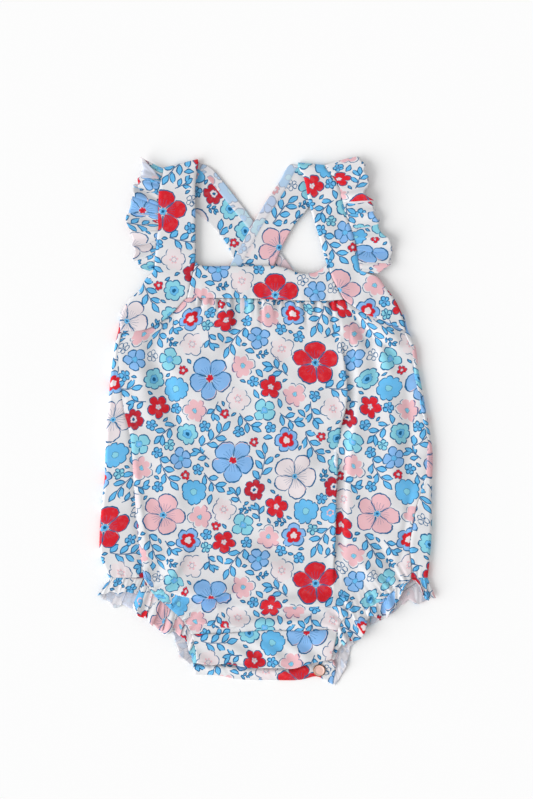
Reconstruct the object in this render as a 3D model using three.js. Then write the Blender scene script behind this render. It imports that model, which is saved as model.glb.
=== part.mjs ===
// A baby romper laid flat on its back, with its front up.
// Millimetres. +Z is up, +Y runs from the crotch to the shoulders, +X is to the right as seen from above.
// The origin is on the surface that it lies on, in the middle of its length and width.
import * as THREE from "three";

// Thicknesses of the cloth walls
const PANEL_WALL = 1.2;
const STRAP_WALL = 1.4;
const FRILL_WALL = 1.0;
// Gap kept where two pieces are sewn to each other
const SEAM_GAP = 0.45;
// Heights of the middle of the cloth above the surface
const FLOOR = PANEL_WALL / 2;
const STRAP_FLOOR = STRAP_WALL / 2;
const LAYER = 4.8;
const BAND_LAYER = 5.0;
// Ring snaps of the crotch
const SNAP = { radius: 4.7, rise: 1.3, shoulder: 0.8, rim: 0.9, dish: 0.5, sides: 16, gap: 0.3 };

// The sides, from the armholes down to the leg elastic: the outline and the side seams that show in front
const SIDES = [
  { y: 70, left: -115.2, seamLeft: -113.4, seamRight: 107.6, right: 110.0 },
  { y: 57, left: -118.0, seamLeft: -116.0, seamRight: 113.5, right: 115.8 },
  { y: 40, left: -120.5, seamLeft: -115.0, seamRight: 115.5, right: 117.9 },
  { y: 24, left: -122.0, seamLeft: -113.0, seamRight: 118.6, right: 121.0 },
  { y: 7, left: -123.3, seamLeft: -110.0, seamRight: 121.6, right: 124.0 },
  { y: -9, left: -124.5, seamLeft: -106.0, seamRight: 124.5, right: 127.0 },
  { y: -26, left: -125.2, seamLeft: -104.0, seamRight: 126.0, right: 129.0 },
  { y: -44, left: -125.7, seamLeft: -103.0, seamRight: 124.0, right: 128.6 },
  { y: -57, left: -127.2, seamLeft: -102.0, seamRight: 119.0, right: 128.2 },
  { y: -71, left: -128.5, seamLeft: -101.0, seamRight: 115.0, right: 128.4 },
  { y: -88, left: -129.6, seamLeft: -99.5, seamRight: 112.0, right: 128.2 },
  { y: -101, left: -129.4, seamLeft: -98.0, seamRight: 111.0, right: 127.2 },
  { y: -112, left: -126.6, seamLeft: -96.2, seamRight: 112.2, right: 126.2 },
  { y: -122, left: -121.6, seamLeft: -95.0, seamRight: 112.0, right: 125.0 },
];

// Outlines of the pieces, as points [x, y]
const PANEL_TOP = {
  left: [[-113.4, 70], [-96.5, 70.3], [-83.5, 75.5], [-72.5, 84], [-64.2, 93]],
  middle: [[-60.5, 95], [-28.5, 95.1], [2.5, 95.1], [33.5, 95], [57.5, 94.7]],
  right: [[61.5, 92.5], [70, 87], [78.5, 82], [85.5, 79.6], [95.5, 75.6], [107.6, 70]],
};
const LEG_LEFT = [
  [-95, -122], [-86.5, -135], [-78, -142], [-67, -152.5], [-59.5, -162.5], [-55.5, -175], [-54, -187],
];
const LEG_RIGHT = [
  [112, -122], [102.5, -127.5], [92.5, -136], [82, -143], [68.5, -147.5], [57.5, -156], [53.5, -170],
  [50.5, -184],
];
// Where the seam between the front panel and the front placket crosses the leg lines
const CROTCH_SEAM_Y = -163;
const PLACKET_GAP = 0.6;
const YOKE_SEAM_LEFT = [
  [-113.4, 71.2], [-96.5, 71.5], [-83.5, 77], [-72.5, 85.5], [-64.7, 94.2], [-62, 96.6],
];
const YOKE_SEAM_RIGHT = [
  [107.6, 71.2], [95.5, 76.9], [85.5, 81], [78.5, 83.5], [70, 88.5], [62.5, 94], [60, 95.9],
];
const BAND = {
  top: [
    [-54.8, 123.5], [-51, 121], [-26.5, 120.5], [6.5, 120.5], [16, 118.5], [26, 114.8], [38.5, 115.8],
    [47.3, 121.7],
  ],
  bottom: [[-61.4, 95.9], [-20.5, 96], [26, 96], [59.2, 95.7]],
  left: [[-54.8, 123.5], [-58.2, 109.5], [-61.4, 95.9]],
  right: [[47.3, 121.7], [51.8, 109.5], [59.2, 95.7]],
};
const BACK_TOP = [
  [-110.5, 85], [-79, 96], [-40, 106.4], [-20, 107], [0, 107], [20, 107], [40, 106.4], [80, 95], [104, 83],
];
const BACK_BOTTOM = [
  [-119.5, -121], [-108, -128], [-94, -135], [-80, -145], [-68, -156], [-60.6, -167], [-57.6, -178.5],
  [-54, -180.6], [-25, -180.6], [20, -180.6], [40, -180.4], [48, -179.8], [50.6, -178], [54, -168],
  [61.5, -158], [76, -149], [92, -141.6], [105, -132], [123, -121],
];

// Straps: edges from the yoke up to the shoulder fold, then down the back, where they cross
const STRAPS = {
  left: {
    yoke: YOKE_SEAM_LEFT,
    outer: [
      [-113.4, 71.2], [-113, 82.5], [-106.5, 94], [-98, 102], [-93.5, 110.5], [-87.5, 116.5], [-86.2, 128.5],
      [-83.8, 146], [-83, 164], [-82.3, 179.5], [-82.5, 195],
    ],
    inner: [
      [-62, 96.6], [-59, 109.5], [-55.5, 124.5], [-55, 144.5], [-54.8, 162.5], [-52.5, 184], [-49, 204],
    ],
    backOuter: [[-82.5, 195], [-54, 162], [-40, 145.5], [-25.5, 128.5], [-7.5, 107.8]],
    backInner: [[-49, 204], [-28.5, 173], [-1, 140.5], [15, 122], [27.5, 107.8]],
    backHeights: [{ share: 0, z: STRAP_FLOOR }, { share: 1, z: STRAP_FLOOR }],
  },
  right: {
    yoke: YOKE_SEAM_RIGHT,
    outer: [
      [107.6, 71.2], [105, 82.5], [99.5, 94], [92, 104], [85.5, 112], [74, 114.5], [71.2, 123.5], [69, 137],
      [66, 147.5], [60.5, 164], [55, 184], [45.5, 199],
    ],
    inner: [
      [60, 95.9], [52.5, 109.5], [48, 122], [43, 140.5], [38.5, 154.5], [33, 171.5], [30, 187], [24.5, 201],
    ],
    backOuter: [[45.5, 199], [33, 167.5], [15, 135], [7.5, 121.5], [0.5, 105.5]],
    backInner: [[24.5, 201], [14.5, 195], [-3.5, 165.5], [-9, 155.5], [-28, 121.5], [-36, 105.5]],
    backHeights: [
      { share: 0, z: STRAP_FLOOR },
      { share: 0.16, z: STRAP_FLOOR },
      { share: 0.4, z: 2.6 },
      { share: 1, z: 2.6 },
    ],
  },
};

// Strap ruffles: where each wave crest or trough meets the seam, as a share of it, and where its free edge lies
const STRAP_RUFFLES = {
  left: {
    seam: [[-83.4, 193.5], [-83.2, 179.5], [-84, 164], [-84.8, 146], [-87.2, 128.5], [-88.4, 117.6]],
    waves: [
      { share: 0.0, x: -97.6, y: 204.6, z: 6.4 },
      { share: 0.09, x: -96.4, y: 194.5, z: 3.4 },
      { share: 0.17, x: -98.0, y: 187.5, z: 7.4 },
      { share: 0.27, x: -102.2, y: 182.0, z: 3.2 },
      { share: 0.38, x: -103.8, y: 173.5, z: 7.8 },
      { share: 0.48, x: -105.6, y: 163.0, z: 3.2 },
      { share: 0.58, x: -106.8, y: 149.5, z: 7.4 },
      { share: 0.68, x: -103.6, y: 140.5, z: 3.2 },
      { share: 0.78, x: -103.2, y: 131.5, z: 7.6 },
      { share: 0.87, x: -101.0, y: 123.5, z: 3.4 },
      { share: 0.94, x: -96.6, y: 118.8, z: 6.4 },
      { share: 1.0, x: -90.6, y: 116.8, z: 4.4 },
    ],
  },
  right: {
    seam: [[46.4, 199.2], [56, 184.6], [61.5, 164], [67, 147.5], [70, 137], [72.2, 123.5], [74.8, 116.6]],
    waves: [
      { share: 0.0, x: 62.0, y: 203.6, z: 5.4 },
      { share: 0.06, x: 72.2, y: 204.4, z: 4.4 },
      { share: 0.16, x: 77.4, y: 193.0, z: 7.2 },
      { share: 0.26, x: 79.0, y: 183.0, z: 3.4 },
      { share: 0.35, x: 77.2, y: 175.5, z: 7.6 },
      { share: 0.44, x: 83.2, y: 166.5, z: 3.2 },
      { share: 0.53, x: 83.6, y: 160.0, z: 7.8 },
      { share: 0.63, x: 88.6, y: 151.5, z: 3.2 },
      { share: 0.73, x: 94.5, y: 141.0, z: 7.6 },
      { share: 0.83, x: 97.0, y: 131.5, z: 3.4 },
      { share: 0.92, x: 95.4, y: 121.5, z: 7.0 },
      { share: 1.0, x: 86.2, y: 114.6, z: 4.6 },
    ],
  },
};

// Leg frills in front: the same columns, along the leg elastic from the side seam to the crotch
const FRONT_FRILLS = {
  left: [
    { share: 0.0, x: -103.8, y: -143.0, z: 4.2 },
    { share: 0.08, x: -100.4, y: -147.6, z: 6.6 },
    { share: 0.16, x: -95.5, y: -151.5, z: 4.0 },
    { share: 0.25, x: -89.5, y: -156.0, z: 7.2 },
    { share: 0.34, x: -83.0, y: -160.5, z: 4.0 },
    { share: 0.43, x: -77.0, y: -164.2, z: 7.4 },
    { share: 0.52, x: -70.5, y: -164.5, z: 3.8 },
    { share: 0.61, x: -67.6, y: -168.5, z: 6.6 },
    { share: 0.71, x: -65.6, y: -174.0, z: 4.0 },
    { share: 0.81, x: -62.8, y: -179.0, z: 6.4 },
    { share: 0.91, x: -59.6, y: -184.0, z: 4.2 },
    { share: 1.0, x: -56.6, y: -188.4, z: 5.0 },
  ],
  right: [
    { share: 0.0, x: 108.0, y: -129.5, z: 5.0 },
    { share: 0.06, x: 104.8, y: -134.8, z: 7.0 },
    { share: 0.13, x: 101.4, y: -140.5, z: 4.2 },
    { share: 0.21, x: 97.0, y: -147.0, z: 7.2 },
    { share: 0.3, x: 89.5, y: -154.6, z: 4.0 },
    { share: 0.38, x: 83.6, y: -150.4, z: 7.0 },
    { share: 0.47, x: 78.6, y: -152.4, z: 4.0 },
    { share: 0.55, x: 77.2, y: -162.0, z: 7.4 },
    { share: 0.65, x: 69.6, y: -170.0, z: 4.0 },
    { share: 0.76, x: 62.6, y: -172.6, z: 6.8 },
    { share: 0.88, x: 57.4, y: -178.0, z: 4.2 },
    { share: 1.0, x: 53.4, y: -185.4, z: 5.0 },
  ],
};

// Leg frills behind: the elastic line and the free edge, from the side seam in front round the side and under
const BACK_FRILLS = {
  left: [
    { lineX: -95.8, lineY: -122.6, lineZ: 4.8, x: -101.2, y: -133.4, z: 5.6 },
    { lineX: -104, lineY: -122.2, lineZ: 4.8, x: -107.5, y: -132.6, z: 6.6 },
    { lineX: -113, lineY: -121.8, lineZ: 4.8, x: -117.5, y: -132.8, z: 5.2 },
    { lineX: -119, lineY: -121.8, lineZ: 4.6, x: -126, y: -133.4, z: 4.8 },
    { lineX: -121, lineY: -121.6, lineZ: 2.8, x: -130.8, y: -134.8, z: 2.8 },
    { lineX: -119, lineY: -122.6, lineZ: 0.9, x: -125, y: -139.4, z: 1.0 },
    { lineX: -110, lineY: -127.8, lineZ: 0.6, x: -116.5, y: -143.4, z: 0.6 },
    { lineX: -101, lineY: -132, lineZ: 0.6, x: -107, y: -143.8, z: 1.8 },
    { lineX: -93, lineY: -136.8, lineZ: 0.6, x: -97, y: -148, z: 0.6 },
    { lineX: -83, lineY: -143.6, lineZ: 0.6, x: -88, y: -153.6, z: 1.8 },
    { lineX: -74, lineY: -151.4, lineZ: 0.6, x: -79, y: -160, z: 0.6 },
    { lineX: -66, lineY: -159.6, lineZ: 0.6, x: -71.5, y: -166, z: 1.8 },
    { lineX: -61.4, lineY: -169, lineZ: 0.6, x: -68.4, y: -174, z: 0.6 },
    { lineX: -58.6, lineY: -178, lineZ: 0.6, x: -64, y: -181, z: 1.6 },
    { lineX: -57.6, lineY: -187, lineZ: 0.6, x: -59.4, y: -188, z: 0.6 },
  ],
  right: [
    { lineX: 112.8, lineY: -122.6, lineZ: 4.8, x: 113.4, y: -126.2, z: 5.2 },
    { lineX: 116, lineY: -122, lineZ: 4.8, x: 118.6, y: -133, z: 6.4 },
    { lineX: 120, lineY: -121.6, lineZ: 4.8, x: 122.4, y: -138, z: 5.0 },
    { lineX: 123.2, lineY: -121.4, lineZ: 4.6, x: 127.6, y: -138, z: 4.6 },
    { lineX: 124.6, lineY: -121.6, lineZ: 2.8, x: 130.7, y: -135.8, z: 2.8 },
    { lineX: 122.6, lineY: -122.6, lineZ: 0.9, x: 125, y: -139, z: 1.0 },
    { lineX: 116.6, lineY: -126.4, lineZ: 0.6, x: 117.6, y: -139.8, z: 0.6 },
    { lineX: 110, lineY: -130.2, lineZ: 0.6, x: 110.6, y: -138.4, z: 1.6 },
    { lineX: 104.4, lineY: -134.2, lineZ: 0.6, x: 105.6, y: -142, z: 0.6 },
    { lineX: 97, lineY: -140, lineZ: 0.6, x: 97.6, y: -149, z: 1.8 },
    { lineX: 88, lineY: -145.4, lineZ: 0.6, x: 87.6, y: -154.6, z: 0.6 },
    { lineX: 78, lineY: -149.8, lineZ: 0.6, x: 78.4, y: -159.4, z: 1.8 },
    { lineX: 68, lineY: -154.6, lineZ: 0.6, x: 71, y: -168, z: 0.6 },
    { lineX: 59.6, lineY: -162.6, lineZ: 0.6, x: 66, y: -173.6, z: 1.8 },
    { lineX: 55.6, lineY: -171, lineZ: 0.6, x: 64.6, y: -181.4, z: 0.6 },
    { lineX: 53.4, lineY: -180, lineZ: 0.6, x: 61.6, y: -190.6, z: 1.8 },
    { lineX: 53, lineY: -189, lineZ: 0.6, x: 56.6, y: -200.4, z: 0.6 },
    { lineX: 51.4, lineY: -197.6, lineZ: 0.6, x: 53, y: -205, z: 0.8 },
  ],
};

// Crotch bands
const FLAP_EDGE = [
  [-54, -187], [-43, -188.6], [-30.5, -187.6], [-19, -189.8], [-8, -191], [10.5, -191], [20, -192],
  [30.5, -188.4], [50.5, -184],
];
const BACK_PLACKET = {
  top: [[-57.2, -181.2], [-25, -181.2], [20, -181.2], [50.6, -181.2]],
  bottom: [
    [-56, -196.5], [-37.5, -197], [-23.5, -200], [0, -200.6], [26, -200.6], [37, -198.6], [50.6, -199],
  ],
  left: [[-57.2, -181.2], [-56.8, -188], [-56, -196.5]],
  right: [[50.6, -181.2], [51.4, -190], [50.6, -199]],
};
const SNAP_PLACES = {
  snap_left: { x: -42, y: -183.2 },
  snap_middle: { x: 0, y: -185.6 },
  snap_right: { x: 41, y: -193.2 },
};

// Tucks where the front is gathered into the band: place on the seam, depth, reach below it and sideways drift
const TUCKS = [
  { x: -56, depth: 1.3, reach: 10, drift: -2 },
  { x: -49, depth: 1.9, reach: 16, drift: -2 },
  { x: -42.5, depth: 1.4, reach: 10, drift: 0 },
  { x: -35, depth: 1.8, reach: 14, drift: -1 },
  { x: -27, depth: 2.6, reach: 26, drift: 1 },
  { x: -20, depth: 1.5, reach: 10, drift: 0 },
  { x: -13.5, depth: 2.8, reach: 30, drift: 1 },
  { x: -7, depth: 1.5, reach: 12, drift: 0 },
  { x: -0.5, depth: 2.4, reach: 22, drift: 1 },
  { x: 6, depth: 1.6, reach: 13, drift: 0 },
  { x: 13.5, depth: 2.4, reach: 20, drift: 2 },
  { x: 20.5, depth: 1.5, reach: 11, drift: 0 },
  { x: 27, depth: 2.0, reach: 16, drift: 1 },
  { x: 34.5, depth: 1.4, reach: 11, drift: 0 },
  { x: 41, depth: 2.0, reach: 17, drift: 2 },
  { x: 47.5, depth: 1.5, reach: 12, drift: 1 },
  { x: 54, depth: 2.2, reach: 20, drift: 3 },
];
const TUCK_WIDTH = 2.3;

// Folds of the front, each along a short path: a ridge where height is above nought, a trough where below
const FOLDS = [
  { name: "lap edge", height: 2.6, width: 5, path: [[57, 50], [57, 20], [54, -10], [49, -40], [49, -128]] },
  { name: "lap hollow", height: -1.5, width: 4, path: [[65, 45], [65, 10], [61, -20], [57, -50], [57, -110]] },
  { name: "yoke drag", height: -1.5, width: 5, path: [[66, 80], [76, 68], [88, 58]] },
  { name: "yoke puff", height: 1.6, width: 9, path: [[78, 70], [92, 62], [104, 52]] },
  { name: "left yoke drag", height: -1.1, width: 6, path: [[-68, 82], [-78, 66], [-82, 48]] },
  { name: "left long wave", height: 1.4, width: 10, path: [[-88, 40], [-84, 0], [-80, -50]] },
  { name: "left seam ridge", height: 1.2, width: 5, path: [[-101, -10], [-97, -60], [-93, -105]] },
  { name: "right wave", height: 1.2, width: 9, path: [[92, 20], [98, -20], [96, -60]] },
  { name: "hip hollow", height: -1.0, width: 8, path: [[-30, -80], [0, -96], [28, -100]] },
  { name: "leg pull", height: 1.3, width: 5, path: [[-66, -104], [-74, -120], [-80, -132]] },
  { name: "upper crotch fold", height: 2.2, width: 5, path: [[-78, -134], [-50, -135], [-20, -124]] },
  { name: "under crotch fold", height: -1.8, width: 4, path: [[-70, -141], [-50, -141], [-28, -139]] },
  { name: "middle crotch fold", height: 1.8, width: 5, path: [[-52, -146], [-10, -141], [36, -138]] },
  { name: "middle crotch hollow", height: -1.8, width: 4, path: [[-50, -153], [-8, -149], [40, -146]] },
  { name: "lower crotch fold", height: 2.2, width: 5, path: [[-44, -158], [0, -158], [48, -152]] },
];
// Share of a fold's height that is left at the ends of its path
const FOLD_END = 0.35;
// Small gathers that the leg elastic makes, alternately up and down from one column of the wall to the next
const SHIRRING = { depth: 1.1, reach: 9, columns: 10, dip: 0.3 };
// Rows of the front panel from its top to the crotch seam, close together where it is gathered or folded
const FRONT_ROWS = [
  0, 0.025, 0.06, 0.1, 0.15, 0.21, 0.29, 0.38, 0.47, 0.56, 0.65, 0.73, 0.79, 0.83, 0.87, 0.905, 0.94, 0.97, 1,
];
// Shares of the front panel over which its folds and tucks fade out towards the seams
const FRONT_EDGE_FADE = { sides: 0.06, bottom: 0.05, tucks: 0.025 };
// The round side of the back panel: it climbs from a low edge at the armhole to the full height below it
const TURN = { reach: 2.2, bendShare: 0.6, topHeight: 1.4, topInset: 0.8, climbAbove: 2, climb: 5 };
const BACK_ROWS = 18;
const BACK_COLUMNS = [
  0, 0.03, 0.08, 0.14, 0.2, 0.25, 0.29, 0.4, 0.52, 0.64, 0.71, 0.75, 0.8, 0.86, 0.92, 0.97, 1,
];
// Steps along and across each kind of piece
const STEPS = {
  strap: { front: 20, turn: 6, back: 13, across: 4 },
  ruffle: { along: 40, across: 3 },
  backFrill: { perRow: 3, across: 3 },
  band: { across: 24, down: 3 },
  placket: { across: 20, down: 3 },
};
// Power that keeps a ruffle low near its seam and lifts it towards its free edge
const RUFFLE_LIFT = 1.3;
// Fineness of the measured lines and of the search for a place on them
const LINE_STEPS = 400;
const JOIN_STEPS = 48;
const SEARCH_STEPS = 24;

const even = (count) => Array.from({ length: count + 1 }, (_, k) => k / count);
const clamp01 = (value) => Math.min(1, Math.max(0, value));
const mix = (a, b, share) => a + (b - a) * share;

const curveThrough = (points) =>
  new THREE.CatmullRomCurve3(points.map(([x, y, z = 0]) => new THREE.Vector3(x, y, z)));

// A smooth line through points [x, y] or [x, y, z], read by the share of its length
function lineThrough(points) {
  const curve = curveThrough(points);
  curve.arcLengthDivisions = LINE_STEPS;
  return (share) => curve.getPointAt(clamp01(share));
}

// The same kind of line, read by the number of its points, so that each row of a table comes at an even share
function lineByRows(points) {
  const curve = curveThrough(points);
  return (share) => curve.getPoint(clamp01(share));
}

// Parts of several lines as one line, again read by the share of its length
function joined(parts) {
  const points = parts.flatMap(({ line, from, to }) => even(JOIN_STEPS).map((k) => line(mix(from, to, k))));
  const lengths = [0];
  points.slice(1).forEach((point, k) => lengths.push(lengths[k] + point.distanceTo(points[k])));
  const whole = lengths[lengths.length - 1];
  return (share) => {
    const length = clamp01(share) * whole;
    let k = 0;
    while (k < lengths.length - 2 && lengths[k + 1] < length) k += 1;
    const span = lengths[k + 1] - lengths[k] || 1;
    return points[k].clone().lerp(points[k + 1], (length - lengths[k]) / span);
  };
}

// The surface that four edge lines bound, as a function of two shares
function patchBetween(top, bottom, left, right) {
  const corners = [top(0), top(1), bottom(0), bottom(1)];
  return (s, t) => {
    const point = new THREE.Vector3();
    point.addScaledVector(top(s), 1 - t).addScaledVector(bottom(s), t);
    point.addScaledVector(left(t), 1 - s).addScaledVector(right(t), s);
    point.addScaledVector(corners[0], -(1 - s) * (1 - t)).addScaledVector(corners[1], -s * (1 - t));
    point.addScaledVector(corners[2], -(1 - s) * t).addScaledVector(corners[3], -s * t);
    return point;
  };
}

// The value of one column of a table at a growing value of another, between its rows
function tableValue(rows, key, at, column) {
  let k = 0;
  while (k < rows.length - 2 && rows[k + 1][key] < at) k += 1;
  const [before, after] = [rows[k], rows[k + 1]];
  return mix(before[column], after[column], clamp01((at - before[key]) / (after[key] - before[key])));
}

// The share of a line at which a coordinate that always grows or always shrinks reaches a value
function shareAt(line, axis, value) {
  const growing = line(1)[axis] > line(0)[axis];
  let low = 0;
  let high = 1;
  for (let step = 0; step < SEARCH_STEPS; step += 1) {
    const middle = (low + high) / 2;
    if (line(middle)[axis] < value === growing) low = middle;
    else high = middle;
  }
  return (low + high) / 2;
}

// Distance from a point to a path, and how far along the path the nearest place is
function nearPath(x, y, path) {
  let best = { distance: Infinity, share: 0 };
  const spans = path.length - 1;
  for (let k = 0; k < spans; k += 1) {
    const [ax, ay] = path[k];
    const dx = path[k + 1][0] - ax;
    const dy = path[k + 1][1] - ay;
    const along = clamp01(((x - ax) * dx + (y - ay) * dy) / (dx * dx + dy * dy));
    const distance = Math.hypot(x - ax - along * dx, y - ay - along * dy);
    if (distance < best.distance) best = { distance, share: (k + along) / spans };
  }
  return best;
}

// Height that the folds add at a point of the front
function foldHeight(x, y) {
  return FOLDS.reduce((sum, fold) => {
    const { distance, share } = nearPath(x, y, fold.path);
    const fade = mix(FOLD_END, 1, Math.sin(Math.PI * share));
    return sum + fold.height * fade * Math.exp(-((distance / fold.width) ** 2));
  }, 0);
}

// Depth of the tucks below the band
function tuckHeight(x, y) {
  const below = Math.max(0, BAND.bottom[0][1] - y);
  return TUCKS.reduce((sum, tuck) => {
    const across = (x - tuck.x - (tuck.drift * below) / tuck.reach) / TUCK_WIDTH;
    return sum - tuck.depth * Math.exp(-(across ** 2) - (below / tuck.reach) ** 2);
  }, 0);
}

// A closed wall of cloth on a grid of points that run along its middle
function clothWall(grid, thickness, upright) {
  const rows = grid.length;
  const columns = grid[0].length;
  const half = thickness / 2;
  const positions = [];
  const direction = (i, j) => {
    if (upright) return new THREE.Vector3(0, 0, 1);
    const across = grid[i][Math.min(j + 1, columns - 1)].clone().sub(grid[i][Math.max(j - 1, 0)]);
    const down = grid[Math.min(i + 1, rows - 1)][j].clone().sub(grid[Math.max(i - 1, 0)][j]);
    return down.cross(across).normalize();
  };
  [half, -half].forEach((offset) => {
    for (let i = 0; i < rows; i += 1) {
      for (let j = 0; j < columns; j += 1) {
        const point = grid[i][j].clone().addScaledVector(direction(i, j), offset);
        positions.push(point.x, point.y, point.z);
      }
    }
  });
  const outside = (i, j) => i * columns + j;
  const inside = (i, j) => rows * columns + i * columns + j;
  const faces = [];
  const quad = (a, b, c, d) => faces.push(a, b, c, a, c, d);
  for (let i = 0; i < rows - 1; i += 1) {
    for (let j = 0; j < columns - 1; j += 1) {
      quad(outside(i, j), outside(i + 1, j), outside(i + 1, j + 1), outside(i, j + 1));
      quad(inside(i, j), inside(i, j + 1), inside(i + 1, j + 1), inside(i + 1, j));
    }
  }
  for (let j = 0; j < columns - 1; j += 1) {
    quad(outside(0, j), outside(0, j + 1), inside(0, j + 1), inside(0, j));
    quad(outside(rows - 1, j + 1), outside(rows - 1, j), inside(rows - 1, j), inside(rows - 1, j + 1));
  }
  for (let i = 0; i < rows - 1; i += 1) {
    quad(outside(i + 1, 0), outside(i, 0), inside(i, 0), inside(i + 1, 0));
    const last = columns - 1;
    quad(outside(i, last), outside(i + 1, last), inside(i + 1, last), inside(i, last));
  }
  const geometry = new THREE.BufferGeometry();
  geometry.setAttribute("position", new THREE.Float32BufferAttribute(positions, 3));
  geometry.setIndex(faces);
  geometry.computeVertexNormals();
  return geometry;
}

const romper = new THREE.Group();
const CLOTH = new THREE.MeshStandardMaterial({ color: "#e4e0e2", roughness: 0.85, metalness: 0 });
const ENAMEL = new THREE.MeshStandardMaterial({ color: "#e8b9ad", roughness: 0.4, metalness: 0.1 });

function addPiece(name, geometry, material = CLOTH) {
  const mesh = new THREE.Mesh(geometry, material);
  mesh.name = name;
  romper.add(mesh);
}

// The four lines down the sides, and the leg lines that start where the side seams end
const sideLine = (column) => lineThrough(SIDES.map((row) => [row[column], row.y]));
const OUTLINE = { left: sideLine("left"), right: sideLine("right") };
const SIDE_SEAM = { left: sideLine("seamLeft"), right: sideLine("seamRight") };
const LEG = { left: lineThrough(LEG_LEFT), right: lineThrough(LEG_RIGHT) };
const xAt = (line, y) => line(shareAt(line, "y", y)).x;

// The front: gathered at the top, folded above the crotch and shirred along the legs
function frontPanel() {
  const top = lineThrough([...PANEL_TOP.left, ...PANEL_TOP.middle, ...PANEL_TOP.right]);
  const ends = { left: shareAt(LEG.left, "y", CROTCH_SEAM_Y), right: shareAt(LEG.right, "y", CROTCH_SEAM_Y) };
  const crotch = lineThrough([LEG.left(ends.left), LEG.right(ends.right)].map((p) => p.toArray()));
  const bottom = joined([
    { line: LEG.left, from: 0, to: ends.left },
    { line: crotch, from: 0, to: 1 },
    { line: LEG.right, from: ends.right, to: 0 },
  ]);
  const surface = patchBetween(top, bottom, SIDE_SEAM.left, SIDE_SEAM.right);
  const places = [];
  TUCKS.forEach((tuck, k) => {
    const before = k ? (TUCKS[k - 1].x + tuck.x) / 2 : PANEL_TOP.middle[0][0];
    places.push(shareAt(top, "x", before), shareAt(top, "x", tuck.x));
  });
  places.push(shareAt(top, "x", PANEL_TOP.middle[PANEL_TOP.middle.length - 1][0]));
  const [firstPlace, lastPlace] = [places[0], places[places.length - 1]];
  const sideShares = even(SHIRRING.columns);
  const columns = [
    ...sideShares.slice(0, -1).map((share) => share * firstPlace),
    ...places,
    ...sideShares.slice(1).map((share) => mix(lastPlace, 1, share)),
  ];
  const grid = FRONT_ROWS.map((t) =>
    columns.map((s, j) => {
      const point = surface(s, t);
      const sideFade = clamp01(Math.min(s, 1 - s) / FRONT_EDGE_FADE.sides);
      const bottomFade = clamp01((1 - t) / FRONT_EDGE_FADE.bottom);
      const tuckFade = clamp01(Math.min(s - firstPlace, lastPlace - s) / FRONT_EDGE_FADE.tucks);
      const onLeg = (s < firstPlace || s > lastPlace) && s > 0 && s < 1;
      const toLeg = bottom(s).distanceTo(point) / SHIRRING.reach;
      const shirring = onLeg ? SHIRRING.depth * Math.exp(-toLeg * toLeg) : 0;
      const folds = foldHeight(point.x, point.y) * sideFade * bottomFade;
      const tucks = tuckHeight(point.x, point.y) * tuckFade;
      return point.setZ(LAYER + folds + tucks + (j % 2 ? shirring : -SHIRRING.dip * shirring));
    }),
  );
  return clothWall(grid, PANEL_WALL, true);
}

// The back: flat on the surface, turned up round both sides to the side seams in front
function backPanel() {
  const edge = (side, sign, first, last) => {
    const between = SIDES.slice(0, -1).map((row) => [row[side] - sign * (TURN.reach + FLOOR), row.y]);
    return lineThrough([first, ...between, last]);
  };
  const left = edge("left", -1, BACK_TOP[0], BACK_BOTTOM[0]);
  const right = edge("right", 1, BACK_TOP[BACK_TOP.length - 1], BACK_BOTTOM[BACK_BOTTOM.length - 1]);
  const floorSheet = patchBetween(lineThrough(BACK_TOP), lineThrough(BACK_BOTTOM), left, right);
  // Points round one side, from the seam in front down to the surface
  const turnedUp = (t, side, sign) => {
    const { x, y } = floorSheet(sign < 0 ? 0 : 1, t);
    const aboveSides = y > SIDES[0].y;
    const climbed = clamp01((SIDES[0].y + TURN.climbAbove - y) / TURN.climb);
    const height = mix(TURN.topHeight, LAYER - FLOOR, climbed);
    const outX = aboveSides ? x + sign * TURN.reach : xAt(OUTLINE[side], y) - sign * FLOOR;
    const seamX = aboveSides ? outX - sign * TURN.topInset : xAt(SIDE_SEAM[side], y) + sign * SEAM_GAP;
    const bend = Math.min(TURN.reach, Math.abs(outX - seamX) * TURN.bendShare);
    const arc = [90, 45, 0, -45].map((degrees) => {
      const angle = THREE.MathUtils.degToRad(degrees);
      const reach = degrees > 0 ? bend : TURN.reach;
      const arcX = outX - sign * reach * (1 - Math.cos(angle));
      return new THREE.Vector3(arcX, y, FLOOR + (height / 2) * (1 + Math.sin(angle)));
    });
    const seam = new THREE.Vector3(seamX, y, FLOOR + height);
    return [seam, seam.clone().lerp(arc[0], 0.5), ...arc];
  };
  const grid = even(BACK_ROWS).map((t) => [
    ...turnedUp(t, "left", -1),
    ...BACK_COLUMNS.map((s) => floorSheet(s, t).setZ(FLOOR)),
    ...turnedUp(t, "right", 1).reverse(),
  ]);
  return clothWall(grid, PANEL_WALL, false);
}

// A flat piece between four edge lines
function flatPiece(lines, height, thickness, steps) {
  const surface = patchBetween(...lines);
  const grid = even(steps.down).map((t) => even(steps.across).map((s) => surface(s, t).setZ(height)));
  return clothWall(grid, thickness, true);
}

const edgeLines = (edges) => ["top", "bottom", "left", "right"].map((side) => lineThrough(edges[side]));

// The front placket, between the crotch seam, the two leg lines and the edge of the flap
function frontPlacket() {
  const upper = CROTCH_SEAM_Y - PLACKET_GAP;
  const left = joined([{ line: LEG.left, from: shareAt(LEG.left, "y", upper), to: 1 }]);
  const right = joined([{ line: LEG.right, from: shareAt(LEG.right, "y", upper), to: 1 }]);
  const top = lineThrough([left(0).toArray(), right(0).toArray()]);
  return flatPiece([top, lineThrough(FLAP_EDGE), left, right], LAYER, PANEL_WALL, STEPS.placket);
}

// A grid turned over from left to right, so that its wall faces outwards on the other side of the garment
const turnedOver = (grid, sign) => (sign < 0 ? grid : grid.map((row) => row.slice().reverse()));

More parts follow.
